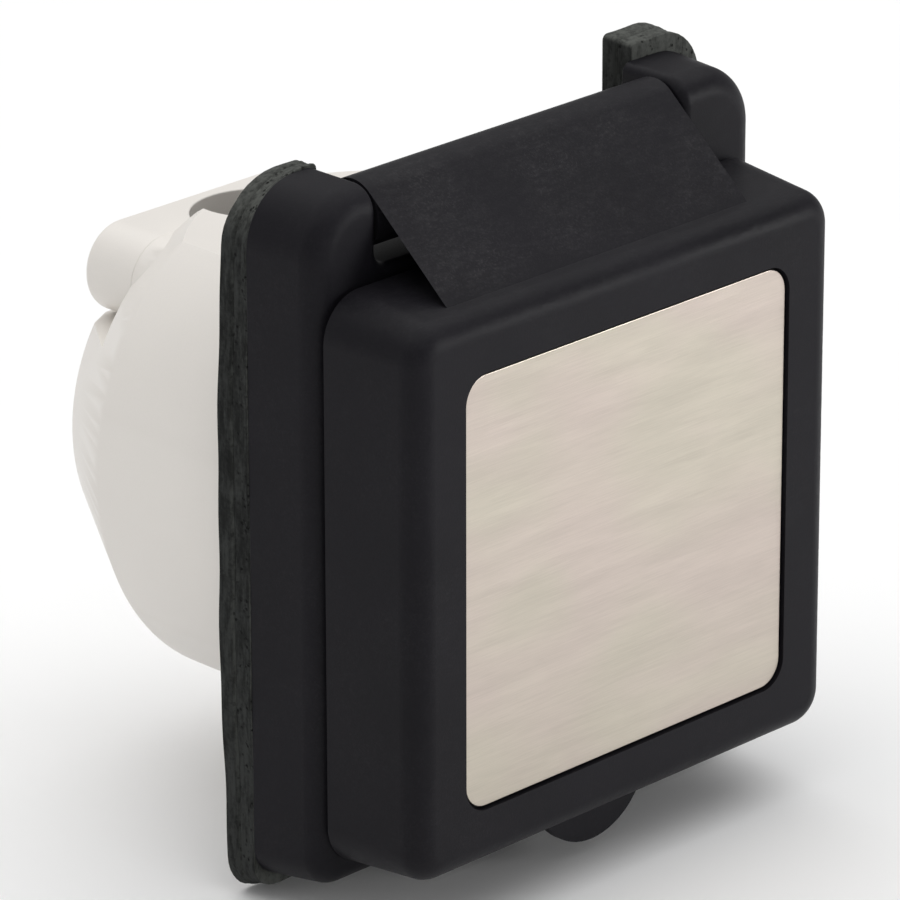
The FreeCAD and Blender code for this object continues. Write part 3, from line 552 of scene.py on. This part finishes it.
def merged_copy(node, name):
    """A copy of the CAD node's mesh with its triangles joined up and its flat faces whole."""

    def build(bm):
        bm.from_mesh(frame["nodes"][node].data)
        bmesh.ops.remove_doubles(bm, verts=bm.verts, dist=0.002 * MM)
        bmesh.ops.dissolve_limit(bm, angle_limit=math.radians(0.4), verts=bm.verts, edges=bm.edges)

    return built(name, build)


def finished_copy(node, name, width, finish=None):
    obj = merged_copy(node, name)
    round_edges(obj, width)
    return complete(obj, node, finish=finish)


def lathe(bm, profile, steps, closed=False):
    """Turns (radius, y) points about Y; ends on the axis are closed."""
    rings = []
    for radius, y in profile:
        if radius < TINY:
            rings.append([bm.verts.new((0.0, y, 0.0))])
            continue
        ring = []
        for step in range(steps):
            a = 2 * math.pi * step / steps
            ring.append(bm.verts.new((radius * math.cos(a), y, radius * math.sin(a))))
        rings.append(ring)
    for first, second in zip(rings, rings[1:] + (rings[:1] if closed else [])):
        for step in range(steps):
            after = (step + 1) % steps
            if len(first) == 1:
                bm.faces.new((first[0], second[after], second[step]))
            elif len(second) == 1:
                bm.faces.new((first[step], first[after], second[0]))
            else:
                bm.faces.new((first[step], first[after], second[after], second[step]))
    bmesh.ops.recalc_face_normals(bm, faces=bm.faces)


def cut_away(obj, cutter):
    """Removes the cutter's space from obj."""
    boolean = obj.modifiers.new("cut", "BOOLEAN")
    boolean.operation = "DIFFERENCE"
    boolean.solver = "EXACT"
    boolean.object = cutter
    settle_modifiers(obj)
    bpy.data.objects.remove(cutter)


def box_mesh(bm, corner_low, corner_high):
    size = [b - a for a, b in zip(corner_low, corner_high)]
    middle = [(a + b) / 2 for a, b in zip(corner_low, corner_high)]
    matrix = Matrix.Translation(middle) @ Matrix.Diagonal((*size, 1.0))
    bmesh.ops.create_cube(bm, size=1.0, matrix=matrix)


# ---- Geometry Nodes helpers ----


def node_input(tree, name):
    for item in tree.interface.items_tree:
        if item.item_type == "SOCKET" and item.in_out == "INPUT" and item.name == name:
            return item.identifier
    raise ValueError(f"the tree has no input {name}")


def geometry_tree(name, inputs):
    tree = bpy.data.node_groups.new(name, "GeometryNodeTree")
    tree.interface.new_socket(name="Geometry", in_out="INPUT", socket_type="NodeSocketGeometry")
    for label, kind, default in inputs:
        socket = tree.interface.new_socket(name=label, in_out="INPUT", socket_type=kind)
        if default is not None:
            socket.default_value = default
    tree.interface.new_socket(name="Geometry", in_out="OUTPUT", socket_type="NodeSocketGeometry")
    return tree, tree.nodes.new("NodeGroupInput"), tree.nodes.new("NodeGroupOutput")


def paint_and_end(wiring, geometry, given, out):
    """Realizes the geometry, gives it the tree's finish and joins it to the output."""
    realized = wiring.add("GeometryNodeRealizeInstances", {0: geometry}).outputs[0]
    values = {"Geometry": realized, "Material": given.outputs["Finish"]}
    painted = wiring.add("GeometryNodeSetMaterial", values)
    wiring.tree.links.new(painted.outputs[0], out.inputs[0])


def repeat_tree():
    """Sets a template on every point, turned about Y by the point's own angle."""
    found = bpy.data.node_groups.get("repeat_on_points")
    if found:
        return found
    inputs = [
        ("Template", "NodeSocketObject", None),
        ("Size", "NodeSocketFloat", 1.0),
        ("Finish", "NodeSocketMaterial", None),
    ]
    tree, given, out = geometry_tree("repeat_on_points", inputs)
    wiring = Wiring(tree)
    turn = wiring.add("GeometryNodeInputNamedAttribute", {"Name": "turn"}, data_type="FLOAT").outputs[0]
    rotation = wiring.add("ShaderNodeCombineXYZ", {1: turn}).outputs[0]
    chosen = {"Object": given.outputs["Template"]}
    template = wiring.add("GeometryNodeObjectInfo", chosen, transform_space="ORIGINAL")
    place = wiring.add(
        "GeometryNodeInstanceOnPoints",
        {
            "Points": given.outputs["Geometry"],
            "Instance": template.outputs["Geometry"],
            "Rotation": rotation,
            "Scale": given.outputs["Size"],
        },
    )
    paint_and_end(wiring, place.outputs[0], given, out)
    return tree


def repeated(name, template, places, finish):
    """One object with the template at every (x, y, z, turn)."""
    mesh = bpy.data.meshes.new(name)
    mesh.from_pydata([place[:3] for place in places], [], [])
    turn = mesh.attributes.new("turn", "FLOAT", "POINT")
    turn.data.foreach_set("value", [place[3] for place in places])
    obj = new_object(name, mesh)
    tree = repeat_tree()
    modifier = obj.modifiers.new("repeat", "NODES")
    modifier.node_group = tree
    modifier[node_input(tree, "Template")] = template
    modifier[node_input(tree, "Size")] = 1.0
    modifier[node_input(tree, "Finish")] = finish_named(finish)
    settle_modifiers(obj)
    bpy.data.objects.remove(template)
    return obj


def helix_tree():
    """A thread: a ten-sided ridge swept along a spiral, fading out at both ends."""
    inputs = [
        ("Turns", "NodeSocketFloat", 3.0),
        ("Radius", "NodeSocketFloat", 0.035),
        ("Rise", "NodeSocketFloat", 0.0032),
        ("Ridge", "NodeSocketFloat", 0.0013),
        ("Finish", "NodeSocketMaterial", None),
    ]
    tree, given, out = geometry_tree("thread_ridge", inputs)
    wiring = Wiring(tree)
    height = wiring.math("MULTIPLY", given.outputs["Turns"], given.outputs["Rise"])
    spiral = wiring.add(
        "GeometryNodeCurveSpiral",
        {
            "Resolution": 96,
            "Rotations": given.outputs["Turns"],
            "Start Radius": given.outputs["Radius"],
            "End Radius": given.outputs["Radius"],
            "Height": height,
        },
    )
    along = wiring.add("GeometryNodeSplineParameter").outputs["Factor"]
    fade_in = wiring.ramp(along, 0.0, 0.05, 0.25, 1.0)
    fade_out = wiring.ramp(along, 0.95, 1.0, 1.0, 0.25)
    scale = wiring.math("MULTIPLY", fade_in, fade_out)
    upright = wiring.add("GeometryNodeSetCurveNormal", {"Curve": spiral.outputs[0]}, mode="Z_UP")
    profile = wiring.add(
        "GeometryNodeCurvePrimitiveCircle",
        {"Resolution": 10, "Radius": given.outputs["Ridge"]},
        mode="RADIUS",
    )
    curves = {"Curve": upright.outputs[0], "Profile Curve": profile.outputs[0]}
    swept = wiring.add("GeometryNodeCurveToMesh", {**curves, "Scale": scale, "Fill Caps": True})
    paint_and_end(wiring, swept.outputs[0], given, out)
    return tree


# ---- Outlines ----


def arc_points(centre, radius, start, end, steps):
    """Points (x, z) on an arc, in degrees from +X towards +Z."""
    points = []
    for step in range(steps + 1):
        a = math.radians(start + (end - start) * step / steps)
        points.append((centre[0] + radius * math.cos(a), centre[1] + radius * math.sin(a)))
    return points


def split_long(points, longest):
    """The closed outline with its long straights divided."""
    result = []
    for a, b in zip(points, points[1:] + points[:1]):
        result.append(a)
        gap = math.dist(a, b)
        for step in range(1, int(gap / longest) + 1):
            t = step / (int(gap / longest) + 1)
            result.append((a[0] + (b[0] - a[0]) * t, a[1] + (b[1] - a[1]) * t))
    return result


def rounded_square(half, radius, steps=8):
    points = []
    for sx, sz, start in ((1, 1, 0), (-1, 1, 90), (-1, -1, 180), (1, -1, 270)):
        middle = (sx * (half - radius), sz * (half - radius))
        points += arc_points(middle, radius, start, start + 90, steps)
    return points


# ---- Pieces ----


class INLET_OT_flange(bpy.types.Operator):
    """Make the flange moulding that carries the hinge"""

    bl_idname = "inlet.flange"
    bl_label = "Flange"

    def execute(self, context):
        finished_copy("front_housing", "flange_moulding", sizes().edge)
        return {"FINISHED"}


class INLET_OT_lid(bpy.types.Operator):
    """Make the lid with its strap, barrel and finger tab"""

    bl_idname = "inlet.lid"
    bl_label = "Lid"

    def execute(self, context):
        finished_copy("lid_shell", "lid_moulding", sizes().edge, finish="black_lid_moulding")
        return {"FINISHED"}


def plate_loops(mid, half, thick, corner):
    """Loops of the lid plate from back to front, with its front edge rounded."""
    edge = sizes().plate_edge
    loops = []
    front = mid - thick / 2
    back = mid + thick / 2
    for inset, y in ((edge * 0.5, back), (0.0, back - edge * 0.5)):
        loops.append((rounded_square(half - inset, corner - inset), y))
    for step in range(5):
        a = math.radians(90 * step / 4)
        inset = edge * (1 - math.cos(a))
        loops.append((rounded_square(half - inset, corner - inset), front + edge * (1 - math.sin(a))))
    return loops


def bridge(bm, first, second):
    """Joins two closed rings of equal length with quads."""
    for i in range(len(first)):
        j = (i + 1) % len(first)
        bm.faces.new((first[i], first[j], second[j], second[i]))


def loft(bm, loops):
    """Joins closed (points, y) loops of equal length; the first and last are capped."""
    rings = [[bm.verts.new((x, y, z)) for x, z in points] for points, y in loops]
    for first, second in zip(rings, rings[1:]):
        bridge(bm, first, second)
    bm.faces.new(rings[0])
    bm.faces.new(list(reversed(rings[-1])))
    bmesh.ops.recalc_face_normals(bm, faces=bm.faces)


class INLET_OT_lid_plate(bpy.types.Operator):
    """Make the brushed plate on the lid, and the tape behind it"""

    bl_idname = "inlet.lid_plate"
    bl_label = "Lid plate"

    def execute(self, context):
        a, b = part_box("lid_plate")
        half = (b.x - a.x) / 2
        loops = plate_loops((a.y + b.y) / 2, half, b.y - a.y, PLATE_CORNER)
        obj = built("brushed_lid_plate", lambda bm: loft(bm, loops))
        round_edges(obj, 0.0)
        complete(obj, "lid_plate")
        finished_copy("plate_adhesive", "plate_tape", 0.05 * MM)
        return {"FINISHED"}


class GasketShape:
    """The sheet gasket's outline at each depth; its soft edge leans and sags a little."""

    def __init__(self):
        a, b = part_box("mounting_gasket")
        self.low_x, self.high_x, self.low_z, self.high_z = a.x, b.x, a.z, b.z
        self.front, self.back = a.y, b.y
        self.notch = (NOTCH_LEFT, NOTCH_RIGHT)
        self.notch_floor = low("hinge_pin").z - NOTCH_DROP

    def outline(self):
        top, bottom, inner = 13 * MM, 6 * MM, 4 * MM
        left, right = self.notch
        lip = 1.2 * MM
        right_top = 10 * MM
        points = arc_points((self.high_x - right_top, self.high_z - right_top), right_top, 0, 90, 10)
        points += arc_points((right + lip, self.high_z - lip), lip, 90, 180, 4)
        points += arc_points((right - inner, self.notch_floor + inner), inner, 0, -90, 6)
        points += arc_points((left + inner, self.notch_floor + inner), inner, -90, -180, 6)
        points += arc_points((left - lip, self.high_z - lip), lip, 0, 90, 4)
        points += arc_points((self.low_x + top, self.high_z - top), top, 90, 180, 10)
        points += arc_points((self.low_x + bottom, self.low_z + bottom), bottom, 180, 270, 8)
        points += arc_points((self.high_x - bottom, self.low_z + bottom), bottom, 270, 360, 8)
        return split_long(points, 2.5 * MM)

    def lean(self, x, z, depth):
        """How far the edge at this depth (0 front, 1 back) is from the die's outline."""
        up = clamp01((z - 54 * MM) / (10 * MM))
        down = clamp01((-z - 52 * MM) / (7 * MM))
        side = clamp01((-x - 47 * MM) / (5 * MM))
        dx = dz = 0.0
        if x < 0:
            dz -= up * (1.2 * MM + depth * sizes().gasket_sag)
            inner_end = clamp01((x + 41 * MM) / (3 * MM))
            dx += up * inner_end * (2.6 * depth - 1.2) * MM
        else:
            dz += up * (1.3 + 0.2 * depth) * MM
        middle = math.cos(math.pi * (z + 4 * MM) / (120 * MM))
        dx += side * (0.9 - 1.5 * max(0.0, middle)) * depth * MM
        wave = 0.14 * math.sin(z / (7.3 * MM) + 1.0) + 0.10 * math.sin(z / (3.1 * MM) + 2.2 * depth)
        dx += side * wave * MM
        dz += down * (1.1 - 2.2 * depth + 0.22 * math.sin(x / (8 * MM))) * MM
        dz += up * 0.12 * math.sin(x / (2.3 * MM)) * MM
        return dx, dz


def gasket_profile():
    """(depth, inset) pairs from the front face to the back one: two layers and the groove between."""
    groove = sizes().gasket_groove
    return [
        (0.0, 0.35 * MM),
        (0.03, 0.1 * MM),
        (0.12, 0.12 * MM),
        (0.24, 0.3 * MM),
        (0.38, 0.28 * MM),
        (0.47, 0.18 * MM),
        (0.51, groove),
        (0.54, groove),
        (0.58, 0.1 * MM),
        (0.68, 0.0),
        (0.80, 0.08 * MM),
        (0.93, 0.0),
        (0.98, 0.06 * MM),
        (1.0, 0.3 * MM),
    ]


def inset_loop(points, inset):
    """The loop moved inwards along its own normals."""
    result = []
    count = len(points)
    for i, (x, z) in enumerate(points):
        ax, az = points[i - 1]
        bx, bz = points[(i + 1) % count]
        tx, tz = bx - ax, bz - az
        size = math.hypot(tx, tz) or 1.0
        result.append((x - tz / size * inset, z + tx / size * inset))
    return result


class INLET_OT_gasket(bpy.types.Operator):
    """Make the wall gasket, a die-cut sheet of two layers"""

    bl_idname = "inlet.gasket"
    bl_label = "Gasket"

    def execute(self, context):
        shape = GasketShape()
        outline = shape.outline()
        bore = high("rear_enclosure").x + 0.9 * MM
        holes = [arc_points((0, 0), bore, 0, 360, 96)[:-1]]
        for x in (-FIXING_HOLE_AT, FIXING_HOLE_AT):
            for z in (-FIXING_HOLE_AT, FIXING_HOLE_AT):
                holes.append(arc_points((x, z), FIXING_HOLE_RADIUS, 0, 360, 16)[:-1])

        def build(bm):
            rings = []
            for depth, inset in gasket_profile():
                y = shape.front + (shape.back - shape.front) * depth
                ring = []
                for x, z in inset_loop(outline, inset):
                    dx, dz = shape.lean(x, z, depth)
                    ring.append(bm.verts.new((x + dx, y, z + dz)))
                rings.append(ring)
            for first, second in zip(rings, rings[1:]):
                bridge(bm, first, second)
            front, back = [rings[0]], [rings[-1]]
            for hole in holes:
                walls = [[bm.verts.new((x, y, z)) for x, z in hole] for y in (shape.front, shape.back)]
                bridge(bm, *walls)
                front.append(walls[0])
                back.append(walls[1])
            for loops in (front, back):
                edges = []
                for ring in loops:
                    for a, b in zip(ring, ring[1:] + ring[:1]):
                        edges.append(bm.edges.get((a, b)) or bm.edges.new((a, b)))
                bmesh.ops.triangle_fill(bm, edges=edges, use_beauty=True, use_dissolve=False)
            bmesh.ops.recalc_face_normals(bm, faces=bm.faces)

        obj = built("sponge_gasket", build)
        round_edges(obj, 0.0)
        complete(obj, "mounting_gasket")
        return {"FINISHED"}


class INLET_OT_hinge_pin(bpy.types.Operator):
    """Make the hinge pin with its rounded ends"""

    bl_idname = "inlet.hinge_pin"
    bl_label = "Hinge pin"

    def execute(self, context):
        a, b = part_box("hinge_pin")
        radius = (b.y - a.y) / 2

        def build(bm):
            profile = [(0.0, a.x)]
            for step in range(1, 7):
                t = math.radians(90 * step / 6)
                profile.append((radius * math.sin(t) ** 0.6, a.x + 0.7 * MM * (1 - math.cos(t))))
            profile += [(r, a.x + b.x - x) for r, x in reversed(profile)]
            lathe(bm, profile, 40)
            turn = Matrix.Rotation(math.radians(-90), 4, "Z")
            centre = Matrix.Translation((0, (a.y + b.y) / 2, (a.z + b.z) / 2))
            bm.transform(centre @ turn)

        obj = built("rounded_hinge_pin", build)
        round_edges(obj, 0.0)
        complete(obj, "hinge_pin")
        return {"FINISHED"}


class INLET_OT_collar(bpy.types.Operator):
    """Make the plug collar with its helical thread"""

    bl_idname = "inlet.collar"
    bl_label = "Plug collar"

    def execute(self, context):
        a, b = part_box("plug_collar")
        bore, outer, foot = COLLAR_BORE, COLLAR_RADIUS, b.x
        foot_front = b.y - COLLAR_FOOT
        profile = [
            (bore, b.y),
            (bore, a.y + 0.9 * MM),
            (bore + 0.3 * MM, a.y + 0.3 * MM),
            (bore + 0.9 * MM, a.y),
            (outer - 0.9 * MM, a.y),
            (outer - 0.3 * MM, a.y + 0.3 * MM),
            (outer, a.y + 0.9 * MM),
            (outer, foot_front - 0.8 * MM),
            (outer + 0.8 * MM, foot_front),
            (foot, foot_front),
            (foot, b.y),
        ]
        tube = built("collar_tube", lambda bm: lathe(bm, profile, 128, closed=True))
        at = COLLAR_SCREW_AT
        for x, z in ((at, 0), (-at, 0), (0, at), (0, -at)):
            place = Matrix.Translation((x, b.y - 1.5 * MM, z))
            self.drill(tube, place @ Matrix.Rotation(math.pi / 2, 4, "X"))
        tube.data.materials.clear()
        tube.data.materials.append(finish_named("black_moulding"))
        ridge_host = new_object("collar_thread", bpy.data.meshes.new("collar_thread"))
        modifier = ridge_host.modifiers.new("thread", "NODES")
        tree = helix_tree()
        modifier.node_group = tree
        for label, value in (
            ("Turns", THREAD_TURNS),
            ("Radius", outer - 0.05 * MM),
            ("Rise", sizes().thread_pitch),
            ("Ridge", sizes().thread_depth),
            ("Finish", finish_named("black_moulding")),
        ):
            modifier[node_input(tree, label)] = value
        settle_modifiers(ridge_host)
        start = Matrix.Translation((0, a.y + THREAD_START, 0))
        ridge_host.data.transform(start @ Matrix.Rotation(math.radians(-90), 4, "X"))
        for piece in (tube, ridge_host):
            round_edges(piece, 0.0)
        complete(tube, "plug_collar")
        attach(ridge_host, BODY_OF["plug_collar"])
        return {"FINISHED"}

    def drill(self, tube, matrix):
        sides = {"segments": 32, "radius1": 2.2 * MM, "radius2": 2.2 * MM, "depth": 8 * MM}

        def build(bm):
            bmesh.ops.create_cone(bm, cap_ends=True, matrix=matrix, **sides)

        cut_away(tube, built("drill", build))


def screw_template(profile, reach, depth):
    """A turned screw along +Y from its head at the origin, with a cross cut into the head."""
    obj = built("screw", lambda bm: lathe(bm, profile, 40))
    half = 0.5 * MM
    for x, z in ((reach, half), (half, reach)):
        corners = (-x, -depth, -z), (x, depth, z)
        cut_away(obj, built("drive", lambda bm: box_mesh(bm, *corners)))
    round_edges(obj, 0.06 * MM, 1, 40)
    return obj


class INLET_OT_screws(bpy.types.Operator):
    """Make all the screws; the clamp's nuts are made with the rear enclosure"""

    bl_idname = "inlet.screws"
    bl_label = "Screws and nuts"

    def execute(self, context):
        a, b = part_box("insert_screws")
        ring = b.x - 3.6 * MM
        run = b.y - a.y
        profile = [
            (0.0, 0.0),
            (3.3 * MM, 0.0),
            (3.6 * MM, 0.12 * MM),
            (2.0 * MM, 1.9 * MM),
            (2.0 * MM, run - 0.5 * MM),
            (1.5 * MM, run),
            (0.0, run),
        ]
        places = [(ring, a.y, 0, 0), (-ring, a.y, 0, 0.6), (0, a.y, ring, 1.1), (0, a.y, -ring, 0.3)]
        template = screw_template(profile, 2.0 * MM, 1.1 * MM)
        complete(repeated("insert_fixing_screws", template, places, "stainless"), "insert_screws")

        a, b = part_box("enclosure_screws")
        profile = self.pan_head(3.6 * MM, 2.4 * MM, 1.9 * MM, b.y - a.y)
        places = [(-ENCLOSURE_SCREW_AT, b.y, 0, 0.4), (ENCLOSURE_SCREW_AT, b.y, 0, 1.0)]
        template = screw_template(profile, 2.0 * MM, 1.2 * MM)
        template.data.transform(Matrix.Rotation(math.pi, 4, "Z"))
        complete(repeated("enclosure_fixing_screws", template, places, "stainless"), "enclosure_screws")

        a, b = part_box("cable_clamp_screws")
        middle = (a.z + b.z) / 2
        profile = self.pan_head(3.8 * MM, 2.4 * MM, 2.0 * MM, b.y - a.y)
        template = screw_template(profile, 2.2 * MM, 1.2 * MM)
        template.data.transform(Matrix.Rotation(math.pi, 4, "Z"))
        places = [(-CLAMP_SCREW_AT, b.y, middle, 0.7), (CLAMP_SCREW_AT, b.y, middle, 0.15)]
        complete(repeated("clamp_fixing_screws", template, places, "stainless"), "cable_clamp_screws")
        return {"FINISHED"}

    def pan_head(self, head, thick, shank, run):
        return [
            (0.0, 0.0),
            (head * 0.62, 0.06 * MM),
            (head * 0.86, 0.35 * MM),
            (head, 1.1 * MM),
            (head, thick),
            (shank, thick),
            (shank, run - 0.5 * MM),
            (shank * 0.7, run),
            (0.0, run),
        ]


class INLET_OT_enclosure(bpy.types.Operator):
    """Make the rear enclosure, its seal and the cable clamp bar"""

    bl_idname = "inlet.enclosure"
    bl_label = "Rear enclosure"

    def execute(self, context):
        finished_copy("rear_enclosure", "rear_enclosure_moulding", 0.4 * MM)
        finished_copy("cable_clamp_cap", "cable_clamp_bar", 0.3 * MM)
        finished_copy("enclosure_seal", "enclosure_rim_seal", 0.1 * MM)
        finished_copy("clamp_nuts", "clamp_hex_nuts", sizes().metal_edge)
        return {"FINISHED"}


class INLET_OT_contacts(bpy.types.Operator):
    """Make the insert, the contacts and the terminals"""

    bl_idname = "inlet.contacts"
    bl_label = "Insert and contacts"

    def execute(self, context):
        finished_copy("inlet_insert", "contact_carrier", 0.2 * MM)
        finished_copy("insert_seal", "insert_rim_seal", 0.05 * MM)
        finished_copy("lid_seal", "lid_ring_seal", 0.05 * MM)
        width = sizes().metal_edge
        for node in (
            "contact_shell",
            "ground_pin",
            "ground_strap",
            "terminal_screws",
            "pressure_plates",
            "blade_line_x",
            "blade_line_y",
            "blade_neutral",
            "terminal_line_x",
            "terminal_line_y",
            "terminal_neutral",
            "terminal_ground",
        ):
            finished_copy(node, node + "_finished", width)
        return {"FINISHED"}


# ---- Stage ----


class INLET_OT_stage(bpy.types.Operator):
    """Make the floor, the light and the camera"""

    bl_idname = "inlet.stage"
    bl_label = "Stage"

    def execute(self, context):
        self.floor()
        self.world()
        self.lamps()
        self.camera(context)
        context.scene.view_settings.view_transform = "Standard"
        return {"FINISHED"}

    def floor(self):
        z = CAD_BOUNDS[0].z - FLOOR_GAP

        def build(bm):
            place = Matrix.Translation((0, 0, z))
            bmesh.ops.create_grid(bm, x_segments=1, y_segments=1, size=4.0, matrix=place)

        obj = built("floor", build)
        material, _, shader, _ = start_material("pale_floor", 0.9)
        shader.inputs["Base Color"].default_value = rgba(colours().floor)
        obj.data.materials.append(material)

    def world(self):
        world = bpy.data.worlds.new("studio")
        world.use_nodes = True
        background = world.node_tree.nodes["Background"]
        background.inputs[0].default_value = (1.0, 1.0, 1.0, 1.0)
        background.inputs[1].default_value = 0.36
        bpy.context.scene.world = world

    def lamp(self, name, place, target, size, power):
        data = bpy.data.lights.new(name, "AREA")
        data.shape = "RECTANGLE"
        data.size, data.size_y = size
        data.energy = power
        obj = bpy.data.objects.new(name, data)
        obj.location = place
        obj.rotation_mode = "QUATERNION"
        obj.rotation_quaternion = (Vector(target) - Vector(place)).to_track_quat("-Z", "Y")
        bpy.context.scene.collection.objects.link(obj)

    def lamps(self):
        self.lamp("overhead", (0.2, 0.4, 2.4), (0, 0.3, 0), (4.5, 4.5), 82.0)
        self.lamp("front", (1.2, -1.6, 0.25), (0, 0, 0), (0.8, 0.8), 17.0)
        self.lamp("left", (-1.6, 0.8, 0.8), (0, 0, 0), (1.0, 1.2), 2.0)

    def camera(self, context):
        data = bpy.data.cameras.new("camera")
        data.sensor_width = 36.0
        data.lens = CAMERA_LENS
        data.clip_start, data.clip_end = 0.05, 20.0
        obj = bpy.data.objects.new("camera", data)
        forward = Vector(CAMERA_FORWARD).normalized()
        right = Vector(CAMERA_RIGHT).normalized()
        up = right.cross(forward).normalized()
        right = forward.cross(up)
        turn = Matrix((right, up, -forward)).transposed().to_4x4()
        obj.matrix_world = Matrix.Translation(CAMERA_PLACE) @ turn
        bpy.context.scene.collection.objects.link(obj)
        context.scene.camera = obj


# ---- Panel and registration ----


OPERATORS = (
    INLET_OT_flange,
    INLET_OT_lid,
    INLET_OT_lid_plate,
    INLET_OT_gasket,
    INLET_OT_hinge_pin,
    INLET_OT_collar,
    INLET_OT_screws,
    INLET_OT_enclosure,
    INLET_OT_contacts,
    INLET_OT_stage,
)


class INLET_PT_pieces(bpy.types.Panel):
    """The pieces of the inlet box, with their sizes and colours"""

    bl_idname = "INLET_PT_pieces"
    bl_label = "Inlet box"
    bl_space_type = "VIEW_3D"
    bl_region_type = "UI"
    bl_category = "Inlet box"

    def draw(self, context):
        for group in (context.scene.inlet_sizes, context.scene.inlet_colours):
            column = self.layout.column(align=True)
            for name in group.__annotations__:
                column.prop(group, name)
        column = self.layout.column(align=True)
        for operator in OPERATORS:
            column.operator(operator.bl_idname)


CLASSES = (InletSizes, InletColours) + OPERATORS + (INLET_PT_pieces,)


def register():
    for item in CLASSES:
        bpy.utils.register_class(item)
    bpy.types.Scene.inlet_sizes = bpy.props.PointerProperty(type=InletSizes)
    bpy.types.Scene.inlet_colours = bpy.props.PointerProperty(type=InletColours)


def unregister():
    del bpy.types.Scene.inlet_sizes
    del bpy.types.Scene.inlet_colours
    for item in reversed(CLASSES):
        bpy.utils.unregister_class(item)


def main():
    register()
    for operator in OPERATORS:
        name = operator.bl_idname.split(".")[1]
        if getattr(bpy.ops.inlet, name)() != {"FINISHED"}:
            raise RuntimeError(f"{name} did not finish")


if __name__ == "__main__":
    main()
